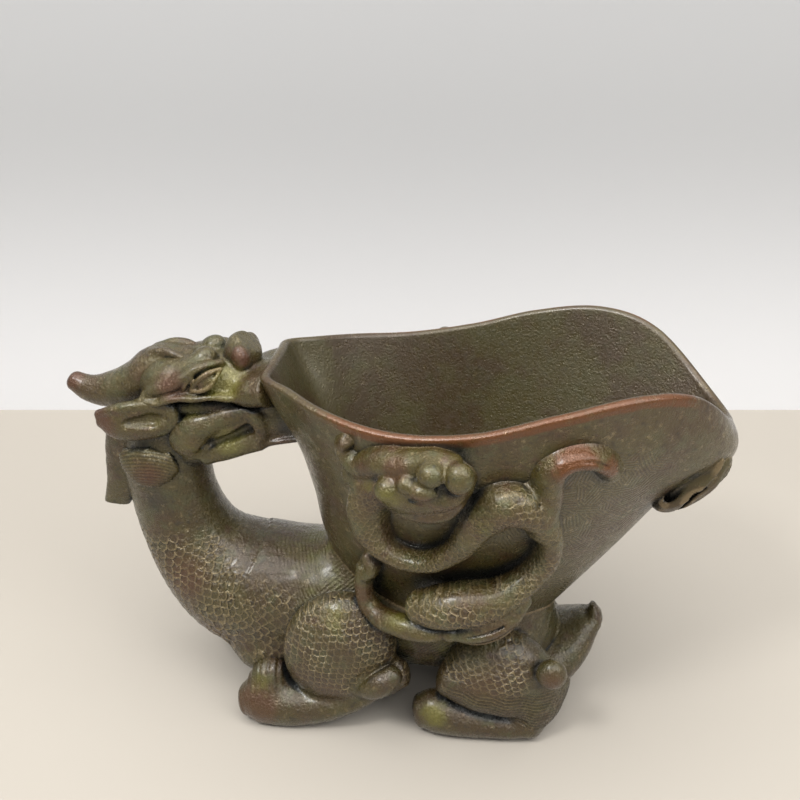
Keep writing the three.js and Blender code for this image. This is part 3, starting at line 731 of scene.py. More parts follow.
def far_hind_leg_field(P):
    """The far hind leg, which shows no knob over the rump."""
    thigh = smooth_cut(joined(P, hind_parts), hind_groove(P), 1)
    return np.maximum(on_wall(P, smooth_join(thigh, hind_paw(P), 1.2)), -P[:, 2])


def hind_leg_field(P):
    whole = smooth_cut(far_hind_leg_field(P), knob_groove(P), 0.6)
    return smooth_join(whole, heel_knob(P), 0.5)


tail_limb = Limb([
    [34.8, 0, 9, 13, 7], [41.6, 0, 10.6, 14, 7.4], [46.4, 0, 14, 11.5, 6.2], [50.2, 0, 18.2, 7.4, 4.2],
    [52.6, 0, 21.8, 3.8, 2.6], [52.4, 0, 24.8, 1.5, 0.8],
], cap=0.6)


def tail_field(P):
    return np.maximum(tail_limb(P), -P[:, 2])


# %% [markdown]
# ## Climbing dragon
#
# The relief is laid on the wall like a rope of clay. Each station says where it is on the wall, how far
# its centre stands off, and its half sizes outwards and across. The wall's own formula gives the depth.

# %% Climbing dragon field
def laid(stations, cap=0.7):
    """A limb on the wall, from rows [x, z, lift, half depth, half width]."""
    x, z, lift, deep, wide = np.asarray(stations, float).T
    return Limb(np.stack([x, wall_depth(x, z) - lift, z, deep, wide], 1), reference=(0, -1, 0), cap=cap)


def bead(x, z, lift, half_x, half_y, half_z, lean=0):
    return Egg(x, float(wall_depth(x, z)) - lift, z, half_x, half_y, half_z, lean)


coil = laid([
    [-1.6, 73.6, 1.2, 3, 4], [-3.4, 67.4, 2.2, 3.2, 4.3], [-2.6, 61.4, 2.6, 3.2, 3.6],
    [0.2, 57, 3, 2.8, 2.6], [5.4, 55.4, 3.4, 2.5, 2.1], [11, 56.4, 3.6, 2.5, 2],
    [15.9, 60.4, 3.6, 2.7, 2.4], [19.5, 66.5, 3.4, 3.1, 3.3], [22.6, 71.6, 3.2, 3.4, 4.2],
    [26.4, 73.8, 3.2, 3.5, 4.3], [30.2, 72.6, 3.2, 3.4, 3.9], [33.9, 68.6, 3.2, 3.2, 3.1],
    [36.2, 62.6, 3.2, 3, 2.6], [36, 56.4, 3.4, 3, 2.7], [33.4, 51.7, 3.8, 3.2, 3],
    [29.6, 48.4, 4.8, 3.6, 3.5], [24.5, 45.8, 6, 4.4, 4.6], [18.3, 45, 6.6, 5, 5.1],
    [12.2, 43.4, 6.6, 4.8, 4.8], [8, 42.4, 6, 3.6, 3.8],
])
hook = laid([
    [33, 66.5, 2.4, 2.8, 2.6], [34, 70.5, 2, 2.8, 2.9], [34.6, 74.4, 1.6, 2.7, 2.8],
    [34.4, 78, 1.4, 2.6, 2.7], [34.9, 81.4, 1.4, 2.6, 2.5], [37, 83.7, 1.4, 2.6, 2],
    [39.8, 84.6, 1.4, 2.6, 1.9], [42.6, 84.2, 1.4, 2.5, 2], [45.6, 82.2, 1.2, 2.3, 1.9],
    [47.4, 79.2, 0.8, 1.8, 1.5],
])
foreleg = laid([
    [-5.4, 47.4, 2.6, 1.8, 1.5], [-5.2, 44, 4, 2.6, 2.1], [-5, 41, 5, 2.6, 2.1],
    [-4.2, 38.2, 6, 2.6, 2.3], [-1.6, 36.2, 7.2, 2.8, 2.5], [2.9, 36.2, 8.2, 3, 2.8],
    [7.9, 36.2, 8.6, 3, 2.7], [12.3, 36.2, 8.2, 2.8, 2.3], [15.2, 36.8, 7.2, 2.2, 1.8],
])
foot_plate = laid([
    [17.4, 36.8, 8.8, 2.4, 2], [21.2, 37.8, 9.4, 2.8, 3.2], [25.2, 39.4, 9.2, 2.9, 3.4],
    [29, 41.8, 7.8, 2.8, 2.8], [31.6, 44.4, 6, 2.4, 2],
], cap=1)
head_lock = laid([
    [9, 83, 3.6, 2.2, 1.9], [5.2, 83, 3.2, 2.5, 2.2], [1.6, 82.2, 2.6, 2.6, 2.5],
    [-2.2, 79.9, 1.8, 2.4, 2.5], [-5, 78.6, 1.4, 2, 2], [-7.2, 80, 1.1, 1.6, 1.4],
    [-8.2, 82.4, 1, 1.4, 1.1], [-7.4, 84, 1, 1.2, 0.8],
])
neck_lock = laid([[1.6, 76, 1.8, 2.4, 2.8], [-2.6, 75, 1.2, 2.2, 2.8], [-6.9, 75.2, 0.4, 1.6, 2.2]])
claw = laid([[-4.2, 50.6, 1.6, 1.5, 1.2], [-2.8, 48.6, 2.8, 1.8, 1.5], [-4.2, 46.4, 3.6, 1.8, 1.4]])
climber_parts = [
    (coil, 1), (hook, 1.5), (foreleg, 1), (foot_plate, 1.2), (head_lock, 0.9), (neck_lock, 1.8),
    (claw, 0.8),
    (bead(9.6, 78, 3, 9.8, 4.6, 6, -8), 1.2),
    (bead(2.4, 78.2, 6.6, 2.8, 2.4, 2.6), 0.9),
    (bead(6.2, 80.6, 6.8, 2, 2, 1.9), 0.8),
    (bead(9.4, 80.2, 7.6, 2.9, 2.4, 2), 0.7),
    (bead(11, 84, 6.8, 2.9, 2.6, 2.5), 0.8),
    (bead(16.4, 83.6, 6.6, 2.9, 2.7, 3.2), 0.8),
    (bead(14.2, 77.4, 4.8, 4, 2.8, 2.6, -25), 1),
    (laid([[6.4, 84.2, 3.2, 1.8, 1.4], [11.4, 85.2, 3.4, 2.2, 1.8], [15.6, 85, 3.2, 1.8, 1.4]],
          cap=1), 1.6),
    (laid([[1.6, 74, 4, 1.7, 1.6], [5.6, 72.2, 4.8, 1.9, 1.7], [10.5, 72.1, 5.2, 2, 1.7],
           [14.2, 73.4, 5, 1.9, 1.7], [16.6, 75.6, 4.2, 1.6, 1.3]], cap=1), 0.9),
    (bead(15.4, 37, 9.4, 2.1, 2, 2), 0.4),
]
# Cuts along the hook, under the foreleg, between the toes and across the face.
climber_cuts = [
    laid([[32.4, 80.4, 4, 0.8, 0.3], [32.2, 77, 4.2, 0.9, 0.3], [32.6, 74.4, 4.4, 0.6, 0.2]]),
    laid([[35.2, 82.8, 4.4, 0.8, 0.3], [38.2, 85, 4.4, 0.9, 0.3], [42.2, 85, 4.4, 0.9, 0.3],
          [45.6, 83.2, 4, 0.8, 0.3]]),
    laid([[-4.8, 36, 9, 0.9, 0.3], [-1.8, 33.8, 10.2, 0.9, 0.3], [3, 33.8, 11.2, 0.9, 0.3],
          [8.2, 34, 11.4, 0.9, 0.3]]),
    laid([[19.2, 37.6, 12.2, 1, 0.3], [23, 39, 12.4, 1, 0.35], [27.6, 41, 11.4, 1, 0.3]]),
    laid([[19.6, 35.6, 12, 0.9, 0.25], [24, 36.8, 12.4, 1, 0.3], [29.4, 39.4, 11.2, 1, 0.25]]),
    laid([[6.6, 77.4, 8.6, 1.2, 0.5], [9.4, 77, 9.2, 1.5, 0.8], [12.2, 77.8, 8.8, 1.2, 0.5]]),
    laid([[13, 78.2, 8.2, 0.8, 0.4], [16.2, 79.4, 7.8, 0.8, 0.4]]),
]


def climber_field(P):
    whole = joined(P, climber_parts)
    for cut in climber_cuts:
        whole = smooth_cut(whole, cut(P), 0.4)
    return on_wall(P, smooth_join(whole, vessel(P) + 1.2, 5))


scroll_half = 12.6
scroll_shares = np.array([-1, -0.85, -0.5, 0, 0.5, 0.85, 1])
narrow = scroll_shares**6
scroll_roll = Limb(np.stack([
    67.0 - 1.2 * narrow, scroll_shares * scroll_half, 67.4 + 1.0 * narrow,
    9.2 * (1 - 0.3 * narrow), 5.0 * (1 - 0.35 * narrow),
], 1), reference=(0.64, 0, 0.77), cap=0.25)
scroll_top = Limb(np.stack([
    72.6 - 1.0 * narrow, scroll_shares * (scroll_half - 0.6), 73.0 + 0 * narrow,
    5.2 * (1 - 0.3 * narrow), 4.0 * (1 - 0.4 * narrow),
], 1), reference=(0.64, 0, 0.77), cap=0.3)
lip_groove = Limb([
    [61.6, -8, 59.6, 0.5, 0.5], [63.2, -12, 64.8, 0.9, 0.9], [65.8, -14.8, 70, 1.2, 1.2],
    [69, -15.8, 73.6, 1, 1], [72.2, -15.2, 75.4, 0.5, 0.5],
])
roll_groove = Limb([
    [65.6, -11.6, 62, 0.5, 0.5], [66.8, -12.8, 64.6, 0.9, 0.8], [68.2, -13.4, 67.2, 0.9, 0.8],
    [70.6, -13.6, 69.4, 0.5, 0.5],
])


def scroll_field(P):
    P = fold(P)
    roll = smooth_join(scroll_roll(P), scroll_top(P), 5)
    roll = smooth_cut(smooth_cut(roll, lip_groove(P), 0.6), roll_groove(P), 0.4)
    return on_wall(P, roll)


# %% [markdown]
# ## Pieces as Blender meshes
#
# Every piece carries marks for its patina and for painted shade and highlights, each a number at every
# point. Two come from the distances: in a hollow the field grows slower than the way travelled outwards,
# and on a ridge it falls slower inwards. The hollow mark darkens as crust and painted shade, and the
# ridge mark lightens as pale wear and a painted highlight. The others are painted: where a hand rubs,
# where green verdigris gathered, where copper shows. Spots of painted shade are added to the hollow mark.

# %% Casting helpers
near_fields = [
    body_field, head_field, jaw_field, horn_field, ear_field, mane_field, fin_field,
    front_leg_field, hind_leg_field, tail_field, climber_field, scroll_field,
]


def nearest_piece(P):
    """Distance to the nearest of all pieces on the near side. The cup's mouth is open."""
    level = (P[:, 2] - vessel_floor) / (rim_end_height - vessel_floor)
    inner = rim_wall + (base_wall - rim_wall) * (1 - np.clip(level, 0, 1))
    wall = np.maximum(vessel(P), np.where(P[:, 2] > cavity_floor, -(vessel(P) + inner), -FAR))
    return np.min([wall] + [field(P) for field in near_fields], axis=0)


room = Sampled(nearest_piece, half_low, half_high, 0.8)


def depth_of_hollow(P, N):
    """0 on open skin, 1 deep in a hollow: the room missing outwards, and more under a roof, as a painted
    shadow under overhangs. It darkens the finish as crust and painted shade.
    """
    missing = np.zeros(len(P))
    for reach, weight in ((0.9, 0.3), (2.2, 0.35), (4.5, 0.35)):
        missing += weight * np.clip(1 - room(fold(P + N * reach)) / reach, 0, 1)
    # Painted shadow: how far the skin is roofed from above, as under an overhanging coil.
    roofed_shadow = np.zeros(len(P))
    for rise in (2.0, 3.5, 5.0):
        roofed_shadow = np.maximum(roofed_shadow, smoothstep(0.6, -0.6, room(fold(P + N * 1.3) + [0, -0.2 * rise, rise])))
    return missing + 0.35 * roofed_shadow * smoothstep(-1.0, 0.0, vessel(fold(P)))


def sharpness(field, P, N, reach=1.1):
    """0 on flat skin, 1 on a sharp ridge: how much of the way travelled inwards the field doesn't fall."""
    return np.clip(1 + in_batches(field, P - N * reach) / reach, 0, 1)


def cast(name, points, quads, marks, material, caps=np.zeros((0, 3), int), far=False):
    """Makes the mesh of one piece from quads, and triangles as caps, with its marks and finish."""
    if far:
        points = points * [1, -1, 1]
        quads = quads[:, ::-1]
    loops = np.concatenate([quads.ravel(), caps.ravel()])
    starts = np.concatenate([np.arange(len(quads)) * 4, quads.size + np.arange(len(caps)) * 3])
    mesh = bpy.data.meshes.new(name)
    mesh.vertices.add(len(points))
    mesh.vertices.foreach_set("co", (points * MM).ravel())
    mesh.loops.add(len(loops))
    mesh.loops.foreach_set("vertex_index", loops.astype(np.int32))
    mesh.polygons.add(len(starts))
    mesh.polygons.foreach_set("loop_start", starts.astype(np.int32))
    mesh.polygons.foreach_set("use_smooth", np.ones(len(starts), bool))
    mesh.update(calc_edges=True)
    for mark, values in marks.items():
        layer = mesh.attributes.new(mark, "FLOAT", "POINT")
        layer.data.foreach_set("value", np.broadcast_to(values, len(points)).astype(np.float32))
    piece = bpy.data.objects.new(name, mesh)
    bpy.context.scene.collection.objects.link(piece)
    mesh.materials.append(material)
    print(name, len(points), "points,", 2 * len(quads) + len(caps), "triangles")
    return piece


def settle(piece, node):
    """The piece stands for its solid, which it hides, and rides on the body."""
    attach(piece, "root")
    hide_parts(node)


# %% [markdown]
# ## Scales, feather lines and fur
#
# The carver cut rows of scales with a round punch: each is a disc, and the disc nearer the head lies
# over the next. Only its free edge shows, as a small raised rim. The rims are finer than the mesh, so
# each point stores where it lies in the pattern: how far onward and how far across, counted in scales.
# The mesh gets the swelling of each scale, and the finish bumps its rim, paints a highlight on it and
# paints a shadow in the crease beyond it. Strokes, such as feathers and fur, are stored in the same
# way, as a number that grows by one from stroke to stroke.

# %% Carving patterns
row_step, disc_radius = 0.64, 0.55
rim_width, crease_width = 0.2, 0.2


def scale_edges(onward, across):
    """The raised free edge of each scale and the crease just beyond it, each from 0 to 1.

    Rows of discs are row_step apart and every second row is shifted by half a scale. The disc that
    shows is the first whose free edge lies further onward than the point. Where that disc is too
    narrow to reach the point, the next row shows, and the crease of this row runs round the disc."""
    row = np.ceil((onward - disc_radius) / row_step)
    ahead = onward - row * row_step
    shift = 0.5 * (row % 2)
    off = across - shift - np.round(across - shift)
    other = across + shift - 0.5 - np.round(across + shift - 0.5)
    reach = np.hypot(ahead, off)
    covers = reach < disc_radius
    rim = covers * smoothstep(rim_width, 0.02, disc_radius - reach)
    beyond = np.where(covers, np.hypot(ahead + row_step, other), reach) - disc_radius
    return rim, smoothstep(crease_width, 0, beyond)


def scaled(onward, across, pitch, P, seed):
    """Pattern place and height of hand-cut scales; slow waves keep the rows from being regular."""
    onward = (onward + 0.4 * unevenness(P, 11, seed)) / pitch
    across = (across + 0.35 * unevenness(P, 9, seed + 1)) / pitch
    vigour = np.clip(0.72 + 0.5 * unevenness(P, 10, seed + 2), 0.1, 1.0)
    rim, crease = scale_edges(onward, across)
    return onward, across, vigour, pitch * vigour * (0.07 * rim - 0.06 * crease)


def within(x, z, corners, soft):
    """1 inside a convex outline of (x, z) corners given anticlockwise, fading to 0 over a soft edge."""
    inside = np.ones(len(x))
    for (ax, az), (bx, bz) in zip(corners, corners[1:] + corners[:1]):
        length = np.hypot(bx - ax, bz - az)
        distance = ((bx - ax) * (z - az) - (bz - az) * (x - ax)) / length
        inside = inside * smoothstep(-soft, soft, distance)
    return inside


def dab(P, x, y, z, radius):
    """A soft round spot, on both sides alike, for patina and for painted shade."""
    return np.exp(-((fold(P) - np.array([x, y, z])) ** 2).sum(axis=1) / radius**2)


def chest_lines(P):
    """Feather strokes: a chevron about a slanting middle line on the chest, plain slants on the belly."""
    x, z = P[:, 0], P[:, 2]
    along_axis = (x + 17) * 0.18 + (z - 36) * 0.98
    aside = np.abs((x + 17) * 0.98 - (z - 36) * 0.18)
    chevron = (aside * 0.72 - along_axis * 0.69) / 0.8 + 0.5 * unevenness(P, 7, 41)
    chest = within(x, z, [(-31, 43), (-19, 28), (2, 26), (0, 64), (-22, 60)], 3)
    slant = ((x - 5) * 0.62 - (z - 15) * 0.78) / 0.8
    belly = within(x, z, [(-6, 6), (22, 6), (22, 30), (2, 32)], 3)
    return np.where(belly > chest, slant, chevron), np.maximum(chest, belly)


def body_detail(P):
    near = fold(P)
    along_mm, local, sizes = spine.follow(near)
    around = np.arctan2(local[:, 1], -local[:, 0]) * sizes.mean(axis=1)
    stroke, stroked = chest_lines(near)
    onward, across, vigour, height = scaled(-along_mm, around, 2.8, near, 3)
    mask = smoothstep(-16, -25, near[:, 0] + 0.25 * (near[:, 2] - 30)) * (1 - stroked)
    mask = mask * smoothstep(2, 5, near[:, 2]) * smoothstep(50, 44, near[:, 2]) * vigour
    mask = mask * smoothstep(13.5, 10, np.abs(around))
    return height * mask, {"onward": onward, "across": across, "scaled": mask, "line": stroke,
                           "lined": 0.5 * stroked, "moss": 0.35 * stroked}


def thigh_detail(P):
    """Scales on the upper thigh and fold lines at the wrist; the lower thigh and the paw stay smooth."""
    x, z = P[:, 0], P[:, 2]
    onward, across, vigour, height = scaled(-0.75 * x - 0.66 * z, 0.66 * x - 0.75 * z, 2.2, P, 11)
    upper = smoothstep(11.5, 17, z + 0.35 * (x + 12)) * smoothstep(-27, -24, x) * vigour
    off_curl = smoothstep(0.2, 0.9, elbow_curl(P)) * smoothstep(0.2, 0.8, front_paw(P))
    mask = upper * off_curl
    folds = smoothstep(8.5, 11.5, z) * smoothstep(-25, -27.5, x)
    stroke = (x + 0.12 * (z - 14)) / 1.5
    carved = {"onward": onward, "across": across, "scaled": mask, "line": stroke, "lined": 0.6 * folds}
    return height * mask + 0.22 * folds * np.sin(2 * np.pi * stroke), carved


def haunch_detail(P):
    """Scales on the haunch and wavy fur strokes along its lower edge; the paw and the knob get no carving.
    """
    x, z = P[:, 0], P[:, 2]
    onward, across, vigour, height = scaled(-0.3 * x - 0.95 * z, 0.95 * x - 0.3 * z, 2.2, P, 23)
    upper = smoothstep(16.5, 19, z + 0.1 * (x - 27)) * smoothstep(36, 33, x) * vigour
    fur = smoothstep(9.0, 10.5, z + 0.2 * (x - 15)) * smoothstep(18.5, 16.5, z) * smoothstep(12, 14, x)
    stroke = (z + 0.22 * (x - 15) + 0.3 * np.sin(x * 0.9)) / 0.95
    height = height * upper + 0.12 * fur * np.sin(2 * np.pi * stroke)
    return height, {"onward": onward, "across": across, "scaled": upper, "line": stroke, "lined": 0.8 * fur}


def climber_detail(P):
    """Small scales along the coiled body; the head, the paws and the hooked tail stay smooth."""
    along_mm, local, sizes = coil.follow(P)
    around = np.arctan2(local[:, 1], local[:, 0]) * sizes.mean(axis=1)
    onward, across, vigour, height = scaled(along_mm, around, 1.8, P, 31)
    x, z = P[:, 0], P[:, 2]
    on_haunch = smoothstep(53, 50.5, z) * smoothstep(30, 27, x)
    large = scaled(-0.9 * x - 0.4 * z, 0.4 * x - 0.9 * z, 2.2, P, 37)
    small = (onward, across, 0.85 * vigour, height)
    onward, across, vigour, height = (np.where(on_haunch > 0.5, a, b) for a, b in zip(large, small))
    own = smoothstep(1.2, 0.3, coil(P))
    others = np.min([part(P) for part in (foreleg, foot_plate, head_lock, hook)], axis=0)
    own = own * smoothstep(-0.4, 0.6, others) * vigour * np.abs(2 * on_haunch - 1)
    own = own * smoothstep(0.4, 0.2, dab(P, 10, -36, 79, 10))
    return height * own, {"onward": onward, "across": across, "scaled": own}


def mane_detail(P):
    """A dozen curved ridges that fan from the jaw to the free edge."""
    x, z = P[:, 0], P[:, 2]
    bend = z - 66 + 0.045 * (x + 57) ** 2 + 0.18 * (x + 52)
    stroke = bend / 0.9 + 0.15 * unevenness(P, 6, 51)
    mask = smoothstep(-50, -52.5, x)
    return 0.15 * np.sin(2 * np.pi * stroke) * mask, {"line": stroke, "lined": 0.8 * mask}


def plain_detail(P):
    return np.zeros(len(P)), {}


# %% [markdown]
# ## Patina
#
# Old bronze shows layers. The metal has turned olive and brown, hollows keep a dark crust with spots of
# verdigris, and the places that a hand touches are rubbed to red copper. The marks on each piece say
# where these lie, and noise breaks up their edges so that no border looks drawn. Light is painted in as
# well: hollows, undersides and the creases of the scales get painted shade, and the scale rims and, in
# part, the ridges a painted highlight.

# %% Bronze
class Finish:
    """A material, with a short call for each kind of node that the finishes are made of."""

    def __init__(self, name):
        self.material = bpy.data.materials.new(name)
        self.material.use_nodes = True
        self.nodes = self.material.node_tree.nodes
        self.links = self.material.node_tree.links
        self.surface = self.nodes["Principled BSDF"].inputs
        self.place = self.nodes.new("ShaderNodeTexCoord").outputs["Object"]

    def feed(self, socket, value):
        """Gives a socket a constant, or links another node's output to it."""
        if isinstance(value, (tuple, int, float)):
            socket.default_value = value
        else:
            self.links.new(value, socket)

    def node(self, kind, out=0, **inputs):
        """The output of a new node, whose named inputs are fed. An underscore stands for a space."""
        node = self.nodes.new("ShaderNode" + kind)
        for socket, value in inputs.items():
            self.feed(node.inputs[socket.replace("_", " ")], value)
        return node.outputs[out]

    def mixed(self, share, below, above):
        """A colour between two others, by a share."""
        mix = self.nodes.new("ShaderNodeMix")
        mix.data_type = "RGBA"
        colours = [socket for socket in mix.inputs if socket.type == "RGBA"]
        for socket, value in zip([mix.inputs[0]] + colours, (share, below, above)):
            self.feed(socket, value)
        return next(socket for socket in mix.outputs if socket.type == "RGBA")

    def maths(self, kind, *values):
        result = self.node("Math")
        result.node.operation = kind
        for socket, value in zip(result.node.inputs, values):
            self.feed(socket, value)
        return result

    def plus(self, a, b):
        return self.maths("ADD", a, b)

    def minus(self, a, b):
        return self.maths("SUBTRACT", a, b)

    def times(self, a, b):
        return self.maths("MULTIPLY", a, b)

    def spread(self, value, low, high):
        """A value stretched so that low becomes 0 and high becomes 1, with level ends."""
        result = self.node("MapRange", Value=value, From_Min=low, From_Max=high)
        result.node.interpolation_type = "SMOOTHSTEP"
        return result

    def grain(self, size_mm, detail=3.0, rough=0.6):
        """Cloudy noise whose clouds are about that many millimetres across."""
        scale = 1000 / size_mm
        return self.node("TexNoise", "Fac", Vector=self.place, Scale=scale, Detail=detail, Roughness=rough)

    def mark(self, name):
        result = self.node("Attribute", "Fac")
        result.node.attribute_name = name
        return result


def strokes(finish):
    """Carved strokes from the stored stroke number: a wave that repeats at every whole number."""
    wave = finish.maths("SINE", finish.times(finish.mark("line"), 2 * np.pi))
    return finish.times(wave, finish.mark("lined"))


def thunder_hatch(finish, field_mm=3.8, stroke_mm=0.78):
    """A mosaic of small fields, each hatched in a direction of its own, as punched on the cup's wall."""
    times = finish.times
    cell = finish.node("TexVoronoi", "Color", Vector=finish.place, Scale=1000 / field_mm)
    turn = times(finish.node("SeparateColor", "Red", Color=cell), np.pi)
    turned = finish.node("VectorRotate", Vector=finish.place, Angle=turn)
    turned.node.rotation_type = "Y_AXIS"
    phase = times(finish.node("SeparateXYZ", "X", Vector=turned), 2 * np.pi * 1000 / stroke_mm)
    phase = finish.plus(phase, times(finish.grain(1.6), 3.0))
    return times(finish.maths("SINE", phase), finish.mark("hatched"))


def drawn_scales(finish):
    """Free edge and crease of each scale from the stored pattern place, in the steps of scale_edges."""
    plus, minus, times, maths = finish.plus, finish.minus, finish.times, finish.maths

    def length(a, b):
        return maths("SQRT", plus(times(a, a), times(b, b)))

    wobble = minus(finish.grain(1.5, 1.0, 0.5), 0.5)
    onward = plus(finish.mark("onward"), times(wobble, 0.5))
    across = plus(finish.mark("across"), times(wobble, 0.4))
    row = maths("CEIL", maths("DIVIDE", minus(onward, disc_radius), row_step))
    ahead = minus(onward, times(row, row_step))
    shift = times(maths("FLOORED_MODULO", row, 2.0), 0.5)
    off = minus(across, shift)
    off = minus(off, maths("ROUND", off))
    other = minus(plus(across, shift), 0.5)
    other = minus(other, maths("ROUND", other))
    reach = length(ahead, off)
    covers = maths("LESS_THAN", reach, disc_radius)
    rim = times(finish.spread(minus(disc_radius, reach), rim_width, 0.02), covers)
    passed = minus(length(plus(ahead, row_step), other), reach)
    passed = plus(reach, times(covers, passed))
    crease = finish.spread(minus(passed, disc_radius), crease_width, 0.0)
    mask = finish.mark("scaled")
    return times(rim, mask), times(crease, mask)


def bronze(name, redness, crust_and_shade, roughness, grit, darkness, hatch=False):
    """Bronze with a patina: clouds of tones, an encrusted dark patina and painted shade in hollows, pale
    wear and a painted highlight on ridges, painted highlights and shadows on the scales, verdigris.
    """
    finish = Finish(name)
    plus, times = finish.plus, finish.times

    def band(value, low, high, most):
        return times(finish.spread(value, low, high), most)

    clouds, patches = finish.grain(17), finish.grain(5)
    blotches, specks = finish.grain(1.7, 3.0, 0.65), finish.grain(0.6, 3.0, 0.7)
    mottle = times(plus(patches, blotches), 0.6)
    rim, crease = drawn_scales(finish)
    cut = strokes(finish)
    if hatch:
        cut = plus(cut, thunder_hatch(finish))
    lively = finish.maths("MULTIPLY_ADD", finish.mark("calm"), -0.6, 1.0)
    # Each layer is how much of it shows and its colour. A band is 0 where its value has reached the
    # first number and most where it has reached the second.
    layers = [
        (band(clouds, 0.42, 0.60, 1.0), brown),
        (times(lively, band(patches, 0.50, 0.66, 0.7)), grey_green),
        (times(lively, band(patches, 0.44, 0.30, 0.6)), russet),
        (times(lively, band(blotches, 0.55, 0.72, 0.6)), crust_and_shadow_tone),
        (times(lively, band(blotches, 0.42, 0.28, 0.4)), tan_and_highlight),
        (band(specks, 0.56, 0.74, 0.5), crust_and_shadow_tone),
        (band(specks, 0.40, 0.24, 0.3), tan_and_highlight),
        (darkness, crust_and_shadow_tone),
        (band(plus(finish.mark("rubbed"), times(patches, 0.6)), 0.6, 1.15, redness), rubbed_tone),
        # Ridges lighten as pale wear and, in part, as a painted highlight.
        (band(plus(finish.mark("ridge"), times(blotches, 0.4)), 0.75, 1.15, 0.4), tan_and_highlight),
        (band(plus(finish.mark("copper"), mottle), 0.85, 1.4, 0.95), copper),
        # Painted highlight on the rim of each scale, and painted shadow in the crease beyond it.
        (times(rim, 0.55), tan_and_highlight),
        (times(crease, 0.55), crust_and_shadow_tone),
        (band(cut, 0.2, 1.2, 0.6), crust_and_shadow_tone),
        (band(cut, -0.3, -1.1, 0.3), tan_and_highlight),
        # Dark crust and painted shade in hollows, under overhangs and on faces that turn down.
        (band(finish.mark("hollow"), 0.5, 1.15, crust_and_shade), shade_tone),
        (band(plus(finish.mark("moss"), mottle), 0.8, 1.4, 0.8), verdigris),
    ]
    tone = olive
    for share, colour in layers:
        tone = finish.mixed(share, tone, colour)
    relief = plus(times(specks, 0.9), times(lively, times(blotches, 0.9)))
    relief = plus(relief, plus(times(rim, 0.6), times(crease, -0.7)))
    relief = plus(relief, times(cut, -0.3))
    surface = {
        "Base Color": tone,
        "Metallic": 0.35,
        "Specular IOR Level": 0.65,
        "Coat Weight": 0.35,
        "Coat Roughness": 0.2,
        "Roughness": finish.maths("MULTIPLY_ADD", blotches, 0.8, roughness - 0.4),
        "Normal": finish.node("Bump", Height=relief, Strength=0.7, Distance=grit),
    }
    for socket, value in surface.items():
        finish.feed(finish.surface[socket], value)
    return finish.material


# Tones as linear red, green and blue.
olive = (0.084, 0.064, 0.015, 1.0)
brown = (0.072, 0.043, 0.013, 1.0)
russet = (0.078, 0.034, 0.016, 1.0)
grey_green = (0.082, 0.080, 0.028, 1.0)
# A pale tan for specks, wear and strokes, used also as painted highlight on ridges and scale rims.
tan_and_highlight = (0.34, 0.26, 0.13, 1.0)
rubbed_tone = (0.088, 0.032, 0.014, 1.0)
copper = (0.120, 0.036, 0.003, 1.0)
# A dark crust, used also as painted shadow in the creases of the scales.
crust_and_shadow_tone = (0.014, 0.011, 0.007, 1.0)
shade_tone = (0.011, 0.014, 0.015, 1.0)
verdigris = (0.135, 0.120, 0.018, 1.0)

# Each finish: name, redness, crust and painted shade, roughness, grit in metres, darkness, and whether
# it is hatched.
finishes = {name: bronze(name, *values) for name, *values in (
    ("vessel_bronze", 0.5, 0.85, 0.32, 0.0003, 0.14, True),
    ("scaled_bronze", 0.6, 0.9, 0.27, 0.0005, 0.3),
    ("head_bronze", 0.8, 0.9, 0.26, 0.0006, 0.14),
    ("rubbed_bronze", 0.9, 0.85, 0.28, 0.0004, 0.1),
    ("relief_bronze", 0.6, 0.9, 0.27, 0.0005, 0.0),
)}

# %% [markdown]
# ## The vessel
#
# The cup is one closed surface with two parameters: the angle round the mouth, and a profile that runs
# from the middle of the foot up the outside, over the rounded rim and down the inside to the cavity
# floor. Both ends of the profile are poles, so each is closed with a fan of triangles.

# %% Cup surface
def cup_surface(columns=440):
    """Points on a grid: each row is a level of the wall, each column an angle round the mouth.

    A row is (level, offset outwards, lift, whether it is on the outer skin)."""
    angle = np.linspace(0, 2 * np.pi, columns, endpoint=False)
    foot_inset, foot_drop = -5, -3
    foot_rows = ((foot_inset - 6, foot_drop), (foot_inset - 2, foot_drop), (foot_inset, foot_drop),
                 (foot_inset / 3, foot_drop / 2))
    rows = [(0, inset, drop, False) for inset, drop in foot_rows]
    rows += [(level, 0, 0, True) for level in np.linspace(0, 1, 130)]
    for share in np.linspace(0.15, 1, 6):
        turn = share * np.pi
        rows.append((1, -rim_wall / 2 * (1 - np.cos(turn)), 0.9 * np.sin(turn), share < 0.5))
    floor_level = (cavity_floor - vessel_floor) / (rim_end_height - vessel_floor)
    for level in np.linspace(1, floor_level + 0.03, 64)[1:]:
        rows.append((level, -(rim_wall + (base_wall - rim_wall) * (1 - level)), 0, False))
    rows.append((floor_level, -base_wall - 3, 0, False))
    grid = np.array([
        wall_point(level, angle, offset + (hood(level, angle) if outer else 0)) + [0, 0, lift]
        for level, offset, lift, outer in rows])
    here = np.arange(columns)
    after = (here + 1) % columns
    start = (np.arange(len(rows) - 1) * columns)[:, None]
    quads = np.stack([start + here, start + after, start + columns + after, start + columns + here], -1)
    points = np.concatenate([grid.reshape(-1, 3), [grid[0].mean(0), grid[-1].mean(0)]])
    hub = np.full(columns, len(points) - 2)
    last = (len(rows) - 1) * columns
    foot_fan = np.stack([hub, after, here], 1)
    floor_fan = np.stack([hub + 1, last + here, last + after], 1)
    outer = np.append(np.repeat([row[3] for row in rows], columns), [False, False])
    return points, quads.reshape(-1, 4), np.concatenate([foot_fan, floor_fan]), outer


